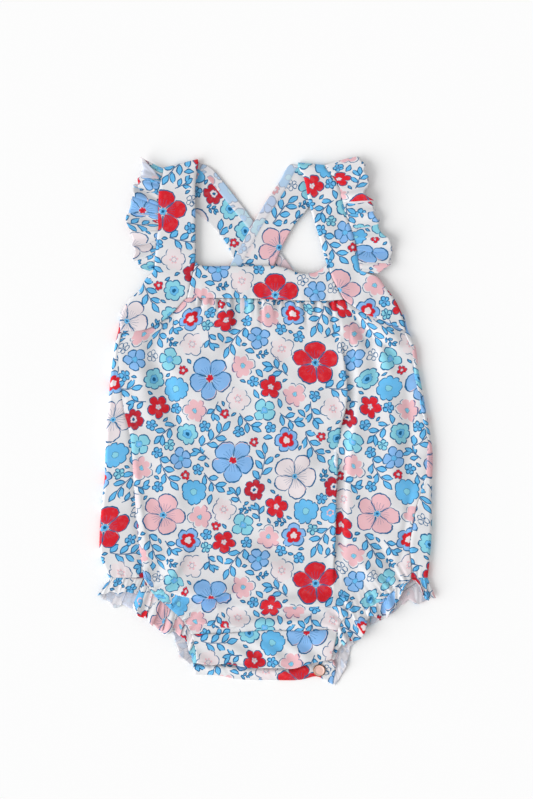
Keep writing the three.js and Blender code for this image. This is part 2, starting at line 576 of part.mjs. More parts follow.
// A strap in one length: yoke and front, the turn over the shoulder, and the back
function strap(shape, sign) {
  const steps = STEPS.strap;
  const shares = even(steps.across);
  const [foldOuter, foldInner] = [shape.outer, shape.inner].map((points) => {
    const [x, y] = points[points.length - 1];
    return new THREE.Vector3(x, y, 0);
  });
  const along = foldInner.clone().sub(foldOuter).normalize();
  const beyond = new THREE.Vector3(-along.y, along.x, 0).multiplyScalar(-sign);
  const radius = (LAYER - STRAP_FLOOR) / 2;
  const [startOuter, startInner] = [foldOuter, foldInner].map((point) =>
    point.addScaledVector(beyond, -radius - STRAP_WALL / 2).toArray().slice(0, 2),
  );
  const fold = lineThrough([startOuter, startInner]);
  const outer = lineThrough([...shape.outer.slice(0, -1), startOuter]);
  const inner = lineThrough([...shape.inner.slice(0, -1), startInner]);
  const front = patchBetween(lineThrough(shape.yoke), fold, outer, inner);
  const frontRows = even(steps.front).map((t) => shares.map((s) => front(s, t).setZ(LAYER)));
  const turnRows = even(steps.turn).slice(1, -1).map((t) => {
    const reach = radius * Math.sin(Math.PI * t);
    const height = STRAP_FLOOR + radius * (1 + Math.cos(Math.PI * t));
    return shares.map((s) => fold(s).addScaledVector(beyond, reach).setZ(height));
  });
  const backOuter = lineThrough([startOuter, ...shape.backOuter.slice(1)]);
  const backInner = lineThrough([startInner, ...shape.backInner.slice(1)]);
  const backRows = even(steps.back).map((t) => {
    const z = tableValue(shape.backHeights, "share", t, "z");
    return shares.map((s) => backOuter(t).lerp(backInner(t), s).setZ(z));
  });
  return clothWall(turnedOver([...frontRows, ...turnRows, ...backRows], sign), STRAP_WALL, false);
}

// A ruffle from its sewn line to its waving free edge
function ruffle(line, waves, sign) {
  const free = lineByRows(waves.map((wave) => [wave.x, wave.y, wave.z]));
  const numbered = waves.map((wave, k) => ({ share: wave.share, row: k / (waves.length - 1) }));
  const grid = even(STEPS.ruffle.along).map((t) => {
    const sewn = line(t).setZ(LAYER);
    const edge = free(tableValue(numbered, "share", t, "row"));
    return even(STEPS.ruffle.across).map((v) => {
      const point = sewn.clone().lerp(edge, v);
      return point.setZ(mix(LAYER, edge.z, v ** RUFFLE_LIFT));
    });
  });
  return clothWall(turnedOver(grid, sign), FRILL_WALL, false);
}

// A leg line moved outwards from the panel by the seam gap
function shiftedOut(points, sign) {
  return points.map(([x, y], k) => {
    const before = points[Math.max(0, k - 1)];
    const after = points[Math.min(points.length - 1, k + 1)];
    const length = Math.hypot(after[0] - before[0], after[1] - before[1]);
    const outX = (sign * Math.abs(after[1] - before[1])) / length;
    const outY = -Math.abs(after[0] - before[0]) / length;
    return [x + SEAM_GAP * outX, y + SEAM_GAP * outY];
  });
}

// A frill behind, given by its elastic line and its free edge
function backFrill(rows, sign) {
  const line = lineByRows(rows.map((row) => [row.lineX, row.lineY, row.lineZ]));
  const edge = lineByRows(rows.map((row) => [row.x, row.y, row.z]));
  const steps = (rows.length - 1) * STEPS.backFrill.perRow;
  const grid = even(steps).map((t) => even(STEPS.backFrill.across).map((v) => line(t).lerp(edge(t), v)));
  return clothWall(turnedOver(grid, sign), FRILL_WALL, false);
}

// A ring snap: a disc with a raised rim round a shallow dish
function snap(place) {
  const { radius, rise, shoulder, rim, dish, sides, gap } = SNAP;
  const profile = [
    [0, 0],
    [radius, 0],
    [radius, shoulder],
    [radius - rim / 2, rise],
    [radius - rim, rise],
    [radius - rim - dish, rise - dish],
    [0, rise - dish],
  ].map(([r, z]) => new THREE.Vector2(r, z));
  const geometry = new THREE.LatheGeometry(profile, sides);
  geometry.rotateX(Math.PI / 2);
  geometry.translate(place.x, place.y, STRAP_WALL + gap);
  return geometry;
}

addPiece("front_panel", frontPanel());
addPiece("back_panel", backPanel());
addPiece("front_band", flatPiece(edgeLines(BAND), BAND_LAYER, PANEL_WALL, STEPS.band));
addPiece("front_placket", frontPlacket());
addPiece("back_placket", flatPiece(edgeLines(BACK_PLACKET), STRAP_FLOOR, STRAP_WALL, STEPS.placket));
[
  { side: "left", sign: -1, legLine: LEG_LEFT },
  { side: "right", sign: 1, legLine: LEG_RIGHT },
].forEach(({ side, sign, legLine }) => {
  const { seam, waves } = STRAP_RUFFLES[side];
  addPiece(`${side}_strap`, strap(STRAPS[side], sign));
  addPiece(`${side}_strap_ruffle`, ruffle(lineThrough(seam), waves, sign));
  addPiece(`${side}_leg_frill_front`, ruffle(lineThrough(shiftedOut(legLine, sign)), FRONT_FRILLS[side], sign));
  addPiece(`${side}_leg_frill_back`, backFrill(BACK_FRILLS[side], sign));
});
Object.entries(SNAP_PLACES).forEach(([name, place]) => addPiece(name, snap(place), ENAMEL));

export default romper;
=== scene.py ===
import bpy
import numpy as np
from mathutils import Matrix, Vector


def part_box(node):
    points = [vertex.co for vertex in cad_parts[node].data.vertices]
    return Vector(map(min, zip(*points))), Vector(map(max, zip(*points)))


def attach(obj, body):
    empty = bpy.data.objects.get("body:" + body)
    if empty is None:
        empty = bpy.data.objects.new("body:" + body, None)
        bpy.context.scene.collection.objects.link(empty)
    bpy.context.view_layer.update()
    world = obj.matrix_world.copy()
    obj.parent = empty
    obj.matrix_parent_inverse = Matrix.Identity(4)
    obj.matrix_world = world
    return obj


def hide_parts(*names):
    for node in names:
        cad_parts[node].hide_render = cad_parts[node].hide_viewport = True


MM = 0.001

# Thickness of doubled and of single cloth
CLOTH = 0.8
SINGLE = 0.45
# How far an edge reaches under the piece that it is sewn to, and how much lower it lies there
TUCKED = 1.3
TUCKED_DOWN = 1.1
# Heights of the middle of the cloth above the surface that it lies on
FLOOR = 0.45
CROSSED = 2.6
LAYER = 4.8
BAND_LAYER = 5.2
LOWEST = 1.9
LINE_STEPS = 400


def table(columns, *rows):
    """A table with named columns."""
    return {name: np.array(column, float) for name, column in zip(columns.split(), zip(*rows))}


SIDES = table(
    "y left seam_left seam_right right",
    (70, -115.2, -113.4, 107.6, 110),
    (57, -118, -116, 113.5, 115.8),
    (40, -120.5, -115, 115.5, 117.9),
    (24, -122, -113, 118.6, 121),
    (7, -123.3, -110, 121.6, 124),
    (-9, -124.5, -106, 124.5, 127),
    (-26, -125.2, -104, 126, 129),
    (-44, -125.7, -103, 124, 128.6),
    (-57, -127.2, -102, 119, 128.2),
    (-71, -128.5, -101, 115, 128.4),
    (-88, -129.6, -99.5, 112, 128.2),
    (-101, -129.4, -98, 111, 127.2),
    (-112, -126.6, -96.2, 112.2, 126.2),
    (-122, -121.6, -95, 112, 125),
)

# Outlines of the pieces, as points (x, y)
PANEL_TOP = [
    (-113.4, 70), (-96.5, 70.3), (-83.5, 75.5), (-72.5, 84), (-64.2, 93), (-60.5, 95.1), (-28.5, 94.9),
    (2.5, 94), (26, 92.9), (45, 92.7), (57.5, 93.4), (61.5, 92), (70, 87), (78.5, 82), (85.5, 79.6),
    (95.5, 75.6), (107.6, 70),
]
LEG_LEFT = [
    (-95, -122), (-86.5, -135), (-78, -142), (-67, -152.5), (-59.5, -162.5), (-55.5, -175), (-54, -187),
]
LEG_RIGHT = [
    (112, -122), (102.5, -127.5), (92.5, -136), (82, -143), (68.5, -147.5), (57.5, -156),
    (53.5, -170), (50.5, -184),
]
# The crotch seam: where it meets the leg lines, and how it bends in between
CROTCH_ENDS = {"left": -165, "right": -160.8}
CROTCH_BEND = [(-26, -163.8), (2, -161.8), (30, -162.6)]
BAND_BOTTOM_Y = 95.9
BAND = {
    "top": [
        (-54.8, 123.5), (-51, 121), (-26.5, 120.5), (6.5, 120.5), (16, 118.5), (26, 114.8),
        (38.5, 115.8), (47.3, 121.7),
    ],
    "bottom": [(-61.4, 96), (-20.5, 95.6), (0, 95), (26, 93.8), (45, 93.6), (59.4, 94.6)],
    "left": [(-54.8, 123.5), (-58.2, 109.5), (-61.4, 96)],
    "right": [(47.3, 121.7), (51.8, 109.5), (59.4, 94.6)],
}
BACK_TOP = [
    (-110.5, 85), (-79, 96), (-40, 106.4), (-20, 107), (0, 107), (20, 107), (40, 106.4), (80, 95),
    (104, 83),
]
BACK_BOTTOM = [
    (-119.5, -121), (-108, -128), (-94, -135), (-80, -145), (-68, -156), (-60.6, -167),
    (-57.6, -178.5), (-54, -180.6), (-25, -180.6), (20, -180.6), (40, -180.4), (48, -179.8),
    (50.6, -178), (54, -168), (61.5, -158), (76, -149), (92, -141.6), (105, -132), (123, -121),
]
SNAP_X = 40.7
FLAP_EDGE = [
    (-54, -187), (-43, -188.6), (-30.5, -187.6), (-19, -189.8), (-8, -191), (10.5, -191),
    (20, -191.6), (30.5, -188.4), (50.5, -184),
]
BACK_PLACKET = {
    "top": [(-57.2, -181.2), (-25, -181.2), (20, -181.2), (50.6, -181.2)],
    "bottom": [
        (-56, -196.5), (-37.5, -197), (-23.5, -200), (0, -200.6), (26, -200.6), (39, -198), (45.5, -201),
        (51.6, -204.2),
    ],
    "left": [(-57.2, -181.2), (-56.8, -188), (-56, -196.5)],
    "right": [(50.6, -181.2), (53.6, -190), (51.6, -204.2)],
}

# Straps: edges from the yoke up to the shoulder fold, then down the back, where they cross
STRAPS = {
    "left": {
        "yoke": [(-113.4, 70.4), (-96.5, 70.7), (-83.5, 76), (-72.5, 84.6), (-64.5, 93.6), (-61.4, 96.2)],
        "outer": [
            (-113.4, 70.4), (-113, 82.5), (-106.5, 94), (-98, 102), (-93.5, 110.5), (-87.5, 116.5),
            (-86.2, 128.5), (-84.4, 146), (-83.8, 164), (-83, 179.5), (-80.4, 196.8),
        ],
        "inner": [
            (-61.4, 96.2), (-58.5, 109.5), (-55.4, 124.5), (-55.2, 144.5), (-55.2, 162.5), (-55.2, 184),
            (-53.4, 203.6),
        ],
        "back_outer": [
            (-80.4, 196.8), (-66, 176), (-54, 162.6), (-42.5, 152.4), (-31.8, 139.3), (-24.5, 125), (-8, 107.8),
        ],
        "back_inner": [
            (-53.4, 203.6), (-43.4, 197.1), (-34.5, 187.4), (-18.4, 167), (-6, 150.5), (14, 127), (27.5, 107.8),
        ],
        "back_heights": table("share z", (0, FLOOR), (1, FLOOR)),
    },
    "right": {
        "yoke": [
            (107.6, 70.4), (95.5, 76.1), (85.5, 80.2), (78.5, 82.7), (70, 87.7), (62.2, 93.2),
            (59.4, 95.8),
        ],
        "outer": [
            (107.6, 70.4), (105, 82.5), (99.5, 94), (92, 104), (85.5, 112), (74, 114.5), (71.2, 123.5),
            (69, 137), (66, 147.5), (60.5, 164), (55, 184), (45.5, 199),
        ],
        "inner": [
            (59.4, 95.8), (52, 109.5), (46.6, 123), (41.8, 140.5), (37.4, 154.5), (32.6, 171.5), (29.6, 187),
            (24.5, 201),
        ],
        "back_outer": [
            (45.5, 199), (33.2, 167), (23.1, 154.6), (16.7, 144.5), (10.8, 132.7), (6, 121.5), (0.5, 105.5),
        ],
        "back_inner": [
            (24.5, 201), (18.3, 199.4), (10.3, 186.6), (1.2, 172.9), (-7, 159.3), (-28, 121.5), (-36, 105.5),
        ],
        "back_heights": table("share z", (0, FLOOR), (0.16, FLOOR), (0.4, CROSSED), (1, CROSSED)),
    },
}

# Rows of the grid down the back of a strap, and the facing turned in along its inner edge there:
# its share of the width, its height, and where it is cut from beside the strap
BACK_ROWS = 84
STRIP_SHARE = 0.25
STRIP_RISE = 0.5
FACING_CUT = (37, 71)

# Strap ruffles: the seam, and where each crest or trough of the free edge lies
STRAP_RUFFLE_SEAMS = {
    "left": [(-80.6, 196.2), (-83.2, 179.5), (-84, 164), (-84.6, 146), (-86.4, 128.5), (-87.7, 117.6)],
    "right": [
        (45.8, 198.8), (55.2, 184.4), (60.7, 164), (66.2, 147.5), (69.2, 137), (71.4, 123.5), (74, 115.8),
    ],
}
WAVE_COLUMNS = "share x y z"
STRAP_RUFFLES = {
    "left": table(
        WAVE_COLUMNS,
        (0, -98.2, 204.8, 6.4), (0.07, -98, 197, 5.6), (0.13, -97.8, 189.4, 6.4), (0.19, -99.2, 186.4, 4.4),
        (0.27, -102.2, 182, 3.2), (0.38, -103.8, 173.5, 7.8), (0.48, -105.6, 163, 3.2),
        (0.58, -106.8, 149.5, 7.4), (0.68, -103.6, 140.5, 3.2), (0.78, -103.2, 131.5, 7.6),
        (0.87, -101, 123.5, 3.4), (0.94, -96.6, 118.8, 6.4), (1, -90.6, 116.8, 4.4),
    ),
    "right": table(
        WAVE_COLUMNS,
        (0, 62, 203.6, 5.4), (0.06, 72.2, 204.4, 4.4), (0.16, 77.4, 193, 7.2),
        (0.26, 79, 183, 3.4), (0.35, 77.2, 175.5, 7.6), (0.44, 83.2, 166.5, 3.2),
        (0.53, 83.6, 160, 7.8), (0.63, 88.6, 151.5, 3.2), (0.73, 94.5, 141, 7.6),
        (0.83, 97, 131.5, 3.4), (0.92, 95.4, 121.5, 7), (1, 86.2, 114.6, 4.6),
    ),
}

# Pleats that lie folded over: where along the seam, how wide, how far folded over and how high
PLEAT_COLUMNS = "place width over rise"
PLEATS = {
    "left_strap_ruffle": table(
        PLEAT_COLUMNS,
        (0.25, 0.055, 2.2, 3.4), (0.37, 0.032, 1.2, 1.8), (0.48, 0.05, 1.7, 2.8),
        (0.61, 0.035, 1.3, 2), (0.72, 0.05, 1.8, 2.8), (0.85, 0.035, 1.2, 1.8),
    ),
    "right_strap_ruffle": table(
        PLEAT_COLUMNS,
        (0.2, 0.02, 0.9, 0.8), (0.37, 0.055, 2.6, 4), (0.48, 0.045, 2.4, 3.4), (0.6, 0.055, 2.6, 4),
        (0.71, 0.03, 1.8, 2.4), (0.8, 0.05, 2.6, 3.8), (0.91, 0.03, 1.7, 2.2),
    ),
    "left_leg_frill_front": table(
        PLEAT_COLUMNS,
        (0.07, 0.025, 2, 2), (0.17, 0.03, 2.2, 2.4), (0.27, 0.022, 1.6, 1.8), (0.36, 0.032, 2.3, 2.6),
        (0.47, 0.025, 1.8, 2), (0.57, 0.035, 2.4, 2.8), (0.69, 0.025, 1.9, 2.2), (0.8, 0.03, 2.2, 2.4),
        (0.91, 0.022, 1.6, 1.8),
    ),
    "right_leg_frill_front": table(
        PLEAT_COLUMNS,
        (0.06, 0.022, 1.8, 2), (0.15, 0.028, 2.2, 2.4), (0.25, 0.03, 2.3, 2.6), (0.36, 0.022, 1.6, 1.8),
        (0.45, 0.03, 2.2, 2.4), (0.57, 0.032, 2.3, 2.8), (0.68, 0.024, 1.8, 2), (0.79, 0.03, 2.2, 2.4),
        (0.91, 0.024, 1.7, 2),
    ),
    "left_leg_frill_back": table(
        PLEAT_COLUMNS,
        (0.05, 0.012, 0.7, 1), (0.12, 0.014, 0.9, 1.2), (0.19, 0.012, 0.7, 1), (0.34, 0.014, 1.4, 1),
        (0.45, 0.016, 1.6, 1.2), (0.57, 0.014, 1.4, 1), (0.68, 0.016, 1.6, 1.2), (0.8, 0.014, 1.4, 1),
        (0.9, 0.014, 1.4, 1),
    ),
    "right_leg_frill_back": table(
        PLEAT_COLUMNS,
        (0.05, 0.012, 0.7, 1), (0.1, 0.012, 0.9, 1.2), (0.16, 0.012, 0.7, 1), (0.3, 0.014, 1.4, 1),
        (0.41, 0.016, 1.6, 1.2), (0.52, 0.014, 1.4, 1), (0.63, 0.016, 1.6, 1.2), (0.75, 0.014, 1.4, 1),
        (0.88, 0.014, 1.4, 1),
    ),
}

# How much of a strip's width is turned back over itself, by place along the seam
TURNED_BACK = {
    "left_strap_ruffle": ([0, 0.05, 0.1, 0.115, 0.14], [0.18, 0.39, 0.48, 0.48, 0]),
}

# Leg frills in front: the same columns, along the leg elastic from the side seam to the crotch
FRONT_FRILLS = {
    "left": table(
        WAVE_COLUMNS,
        (0, -103.8, -143, 4.2), (0.08, -100.4, -147.6, 6.6), (0.16, -95.5, -151.5, 4),
        (0.25, -89.5, -156, 7.2), (0.34, -83, -160.5, 4), (0.43, -77, -164.2, 7.4),
        (0.52, -70.5, -163.5, 3.8), (0.61, -65.6, -166.5, 6.2), (0.71, -61.8, -172, 4),
        (0.81, -60, -178, 5.8), (0.91, -58, -184, 4.2), (1, -56.2, -188.4, 5),
    ),
    "right": table(
        WAVE_COLUMNS,
        (0, 107, -127.5, 5), (0.06, 104.2, -133.6, 7), (0.13, 101.4, -140.5, 4.2),
        (0.21, 97, -147, 7.2), (0.3, 89.5, -154.6, 4), (0.38, 83.6, -150.4, 7),
        (0.47, 78.6, -152.4, 4), (0.55, 77.2, -162, 7.4), (0.65, 69.6, -170, 4),
        (0.76, 61.4, -171.4, 6.8), (0.88, 55.6, -176.6, 4.2), (1, 52.4, -184.8, 5),
    ),
}

# Leg frills behind: the elastic line and the free edge, from the side seam in front round the side and under
BACK_FRILL_COLUMNS = "line_x line_y line_z x y z"
BACK_FRILLS = {
    "left": table(
        BACK_FRILL_COLUMNS,
        (-95.8, -122.2, 4.8, -101.2, -133.4, 5.6), (-104, -121.8, 4.8, -107.5, -132.6, 6.6),
        (-113, -121.4, 4.8, -117.5, -132.8, 5.2), (-119, -121.4, 4.6, -126, -133.4, 4.8),
        (-121, -121.2, 2.8, -130.8, -134.8, 2.8), (-119, -122.2, 0.9, -125, -139.4, 1),
        (-110, -127.8, 0.6, -116.5, -143.4, 0.6), (-101, -132, 0.6, -107, -143.8, 1.8),
        (-93, -136.8, 0.6, -97, -148, 0.6), (-83, -143.6, 0.6, -88, -153.6, 1.8),
        (-74, -151.4, 0.6, -80.4, -161.6, 0.6), (-66, -159.6, 0.6, -71.4, -166.4, 2.4),
        (-61.4, -169, 0.6, -70.6, -173.6, 1.4), (-58.6, -178, 0.6, -67, -181.4, 2.8),
        (-57.6, -187, 0.6, -59.8, -188.2, 0.8),
    ),
    "right": table(
        BACK_FRILL_COLUMNS,
        (112.8, -122.2, 4.8, 118.6, -125.6, 5.6), (116, -121.6, 4.8, 120.4, -131, 6.6),
        (120, -121.2, 4.8, 122, -137, 5), (123.2, -121, 4.6, 127, -137.8, 4.6),
        (124.6, -121.2, 2.8, 130.7, -135.8, 2.8), (122.6, -122.2, 0.9, 125, -139, 1),
        (116.6, -126.4, 0.6, 117.6, -140.6, 2.4), (110, -130.2, 0.6, 109.6, -139, 1.6),
        (104.4, -134.2, 0.6, 105.6, -142, 0.6), (97, -140, 0.6, 97.6, -149, 1.8),
        (88, -145.4, 0.6, 87.6, -154.6, 0.6), (78, -149.8, 0.6, 78.4, -159.4, 1.8),
        (68, -154.6, 0.6, 71, -168, 0.6), (59.6, -162.6, 0.6, 66, -173.6, 1.8),
        (55.6, -171, 0.6, 64.6, -181.4, 0.6), (53.4, -180, 0.6, 61.6, -190.6, 1.8),
        (53, -189, 0.6, 56.6, -200.4, 0.6), (51.4, -197.6, 0.6, 53, -205, 0.8),
    ),
}

# Tucks where the front is gathered into the band: place, depth, reach below the band and sideways drift
TUCKS = table(
    "x depth reach drift",
    (-57, 1.6, 8, -2), (-50, 3, 13, -3), (-43, 1.2, 7, 0), (-37, 2.2, 10, -1), (-31, 1.2, 8, 0),
    (-9, 1.4, 9, 0), (-5, 3, 16, 1), (23, 1.4, 9, 0), (28.5, 3.2, 15, 2), (33, 1.4, 8, 0),
    (38, 2.8, 13, 1), (43.5, 1.6, 9, 0), (48.5, 3.6, 19, 3), (54, 2, 11, 2),
)
TUCK_WIDTH = 1.7
# Box pleats under the band: their left and right edges, depth and reach
BOX_PLEATS = table("left right depth reach", (-26.8, -14.4, 3.6, 24), (5.8, 18.2, 2.4, 13))

# Folds of the front: height, widths on the left and on the right of the path, and the path.
# A narrow width makes that side steep. A negative height is a trough.
FOLDS = {
    "lap_edge": (2.7, 12, 3, [(58, 66), (60, 30), (59, 0), (54, -40), (52, -80), (51, -124)]),
    "lap_hollow": (-3.4, 3, 12, [(66, 60), (66, 15), (62, -15), (59, -45), (58, -110)]),
    "diagonal": (-2.3, 5, 8, [(60, -6), (50, -24), (38, -34), (24, -40)]),
    "diagonal_ridge": (1.6, 7, 5, [(52, -34), (38, -46), (22, -56)]),
    "yoke_drag": (-4, 4, 7, [(68, 82), (79, 67), (92, 60)]),
    "yoke_puff": (2.8, 8, 8, [(80, 76), (94, 69), (106, 58)]),
    "yoke_fan": (1.9, 4, 5, [(84, 66), (92, 50), (96, 36)]),
    "yoke_fan_low": (-1.8, 4, 6, [(80, 62), (84, 46), (85, 28)]),
    "left_yoke_drag": (-2.5, 5, 5, [(-68, 82), (-80, 68), (-90, 58)]),
    "left_trough": (-2.8, 6, 8, [(-89, 68), (-85, 46), (-76, 22), (-66, -8)]),
    "left_puff": (1.8, 7, 7, [(-98, 50), (-95, 24), (-88, 2)]),
    "tuck_tail": (-1.8, 5, 6, [(-24, 74), (-29, 60), (-36, 44)]),
    "middle_swell": (1.5, 10, 10, [(4, 52), (0, 24), (6, -6)]),
    "left_long_wave": (1.5, 9, 12, [(-74, -24), (-71, -52), (-66, -78)]),
    "left_seam_ridge": (2.1, 2.5, 7, [(-106, 10), (-104, -20), (-99, -60), (-92, -112)]),
    "right_wave": (2, 8, 8, [(92, 24), (98, -16), (97, -58)]),
    "right_hollow": (-1.8, 6, 6, [(110, 40), (112, 6), (110, -40)]),
    "right_seam_hollow": (-2.5, 5, 3, [(113, -52), (109, -80), (104, -112)]),
    "hip_hollow": (-1.8, 8, 8, [(-34, -84), (0, -96), (30, -104)]),
    "hip_ridge": (1.5, 7, 9, [(-40, -108), (-8, -112), (28, -118)]),
    "left_leg_pull": (2.4, 4, 6, [(-62, -100), (-72, -118), (-79, -132)]),
    "left_leg_hollow": (-2, 4, 5, [(-74, -98), (-84, -114), (-88, -124)]),
    "right_leg_pull": (2.2, 5, 5, [(70, -104), (82, -120), (90, -128)]),
    "right_leg_hollow": (-2, 4, 5, [(84, -92), (94, -108), (100, -120)]),
    "upper_crotch_fold": (2.8, 7, 4, [(-14, -122), (-46, -130), (-80, -132)]),
    "under_crotch_fold": (-2.5, 4, 6, [(-18, -136), (-50, -139), (-70, -139)]),
    "middle_crotch_fold": (3.6, 8, 4, [(60, -139), (10, -140), (-36, -146)]),
    "middle_crotch_hollow": (-3, 4, 6, [(52, -148), (0, -149), (-46, -153)]),
    "left_crotch_bulge": (2.6, 8, 3, [(-24, -128), (-46, -133.5), (-66, -134)]),
    "lower_crotch_fold": (3, 5, 4, [(48, -155), (0, -157), (-48, -157)]),
}
# Places where the cloth on the left of a path lies folded over that on its right: how far, width, rise, path
LAPS = {
    "front_lap": (2.5, 3, 3, [(52, -134), (52, -92), (53.5, -40), (55.5, -8), (60.5, 12), (60.5, 40), (56, 72)]),
    "crotch_upper": (2.3, 2.8, 1.8, [(-80, -131), (-62, -134.5), (-44, -136), (-22, -132)]),
    "crotch_right": (2.2, 2.8, 1.8, [(10, -143), (34, -142), (60, -143)]),
    "crotch_left": (2.1, 2.6, 1.6, [(-58, -155), (-40, -158), (-16, -158.5)]),
}
# Share of a fold's height that is left at the ends of its path
FOLD_END = 0.3


def spline(points):
    """A smooth line through points, finely divided, as an array of points (x, y, z)."""
    given = np.array([(*point, 0.0)[:3] for point in points], float)
    before = 2 * given[0] - given[1]
    after = 2 * given[-1] - given[-2]
    padded = np.vstack([before, given, after])
    place = np.linspace(0, len(given) - 1, LINE_STEPS + 1)
    span = np.minimum(place.astype(int), len(given) - 2)
    share = (place - span)[:, None]
    p0, p1, p2, p3 = (padded[span + k] for k in range(4))
    d0, d1, d2 = (np.sqrt(np.linalg.norm(b - a, axis=1, keepdims=True)) for a, b in ((p0, p1), (p1, p2), (p2, p3)))
    t1 = ((p1 - p0) / d0 - (p2 - p0) / (d0 + d1) + (p2 - p1) / d1) * d1
    t2 = ((p2 - p1) / d1 - (p3 - p1) / (d1 + d2) + (p3 - p2) / d2) * d1
    cubic = 2 * p1 - 2 * p2 + t1 + t2
    square = 3 * p2 - 3 * p1 - 2 * t1 - t2
    return p1 + share * (t1 + share * (square + share * cubic))


def by_length(points):
    """A line that is read by the share of its length."""
    lengths = np.r_[0, np.cumsum(np.linalg.norm(np.diff(points, axis=0), axis=1))]
    return lengths / lengths[-1], points


def line(points):
    return by_length(spline(points))


def line_by_rows(columns):
    """A line through the rows of a table, read by the number of its rows."""
    points = spline(list(zip(*columns)))
    return np.linspace(0, 1, len(points)), points


def at(curve, share):
    """Points of a line at one or more shares."""
    shares, points = curve
    return np.stack([np.interp(share, shares, points[:, axis]) for axis in range(3)], axis=-1)


def share_at_y(curve, y):
    shares, points = curve
    order = np.argsort(points[:, 1])
    return np.interp(y, points[order, 1], shares[order])


def x_at(curve, y):
    return at(curve, share_at_y(curve, y))[..., 0]


def part_of(curve, start, end):
    return at(curve, np.linspace(start, end, LINE_STEPS // 8))


def patch(top, bottom, left, right, columns, rows):
    """The surface that four edge lines bound, as a grid of points."""
    s = np.linspace(0, 1, columns)
    t = np.linspace(0, 1, rows)
    across = s[None, :, None]
    down = t[:, None, None]
    between = at(top, s)[None] * (1 - down) + at(bottom, s)[None] * down
    beside = at(left, t)[:, None] * (1 - across) + at(right, t)[:, None] * across
    corners = at(top, 0) * (1 - across) * (1 - down) + at(top, 1) * across * (1 - down)
    corners = corners + at(bottom, 0) * (1 - across) * down + at(bottom, 1) * across * down
    return between + beside - corners


def near(x, y, points):
    """Distance from each place to a path, how far along it that is, on which side (-1 left, 1 right) and
    the direction across the path to the right."""
    path = at(line(points), np.linspace(0, 1, 25))[:, :2]
    start = path[:-1]
    step = np.diff(path, axis=0)
    place = np.stack([x, y], axis=-1)[..., None, :] - start
    along = np.clip((place * step).sum(-1) / (step**2).sum(-1), 0, 1)
    gap = place - along[..., None] * step
    distance = np.linalg.norm(gap, axis=-1)
    best = distance.argmin(-1)[..., None]
    cross = step[..., 0] * gap[..., 1] - step[..., 1] * gap[..., 0]
    share = (best + np.take_along_axis(along, best, -1)) / len(step)
    side = -np.sign(np.take_along_axis(cross, best, -1))
    across = np.stack([step[:, 1], -step[:, 0]], -1) / np.linalg.norm(step, axis=-1, keepdims=True)
    return np.take_along_axis(distance, best, -1)[..., 0], share[..., 0], side[..., 0], across[best[..., 0]]


def fold_height(x, y):
    total = np.zeros_like(x)
    for height, left_width, right_width, path in FOLDS.values():
        distance, share, side, _ = near(x, y, path)
        width = np.where(side < 0, left_width, right_width)
        fade = FOLD_END + (1 - FOLD_END) * np.sin(np.pi * share)
        total += height * fade * np.exp(-((distance / width) ** 2))
    return total


def tuck_height(x, y):
    below = np.maximum(0, BAND_BOTTOM_Y - y)
    total = np.zeros_like(x)
    for place, depth, reach, drift in zip(*TUCKS.values()):
        across = (x - place - drift * below / reach) / TUCK_WIDTH
        total -= depth * np.exp(-(across**2) - (below / reach) ** 2)
    for left, right, depth, reach in zip(*BOX_PLEATS.values()):
        within = np.tanh((x - left) / 0.9) - np.tanh((x - right) / 0.9)
        total -= depth / 2 * within * np.exp(-((below / reach) ** 2))
    return total


def folded_over(offset, over):
    """Shift and height of cloth in a Z fold, where offset is the distance from it over its width."""
    shift = -over * offset * np.exp(-(offset**2))
    height = -0.5 * np.tanh(1.5 * offset) * np.exp(-((offset / 3) ** 2))
    return shift, height


def lay_over(grid):
    """Folds the grid over itself along each lap."""
    x, y = grid[..., 0].copy(), grid[..., 1].copy()
    for over, width, rise, path in LAPS.values():
        distance, share, side, across = near(x, y, path)
        fade = np.clip(np.minimum(share, 1 - share) * 5, 0, 1)
        shift, height = folded_over(side * distance / width, over)
        grid[..., :2] += (shift * width * fade)[..., None] * across
        grid[..., 2] += rise * height * fade


def waves(values, length, seed):
    """Uneven waves along a line: sines of three lengths near the given one."""
    rng = np.random.default_rng(seed)
    total = np.zeros_like(values)
    for share in (0.74, 1.0, 1.37):
        total += np.sin(2 * np.pi * (values / (length * share) + rng.random())) / 3
    return total


def ripple(x, y, seed):
    """Low soft unevenness of cloth that lies by itself, from -1 to 1 or so."""
    rng = np.random.default_rng(seed)
    total = np.zeros_like(x)
    for length in (19, 23, 31, 42, 57):
        angle = rng.random() * np.pi
        phase = rng.random() * 2 * np.pi
        total += np.sin(2 * np.pi * (x * np.cos(angle) + y * np.sin(angle)) / length + phase)
    return total / 3


# The lines down the sides, and the leg lines that start where the side seams end
OUTLINE = {side: line(zip(SIDES[side], SIDES["y"])) for side in ("left", "right")}
SIDE_SEAM = {side: line(zip(SIDES["seam_" + side], SIDES["y"])) for side in ("left", "right")}
LEG_POINTS = {"left": LEG_LEFT, "right": LEG_RIGHT}
LEG = {side: line(points) for side, points in LEG_POINTS.items()}


# Pieces. Each gives a grid of points along the middle of its cloth, from top to bottom and from left to right.


def leg_gathers(x, y, side):
    """Small uneven gathers that the leg elastic makes, deepest at the leg line."""
    distance, share, *_ = near(x, y, LEG_POINTS[side])
    inside = np.clip(distance / 3, 0, 1)
    return 1.5 * waves(share * 90, 5.6, 3) * np.exp(-((distance / 12) ** 2)) * inside


def crotch_seam():
    """Where the crotch seam meets each leg line, as shares of those lines, and the seam itself."""
    ends = {side: share_at_y(LEG[side], y) for side, y in CROTCH_ENDS.items()}
    return ends, line([at(LEG["left"], ends["left"]), *CROTCH_BEND, at(LEG["right"], ends["right"])])


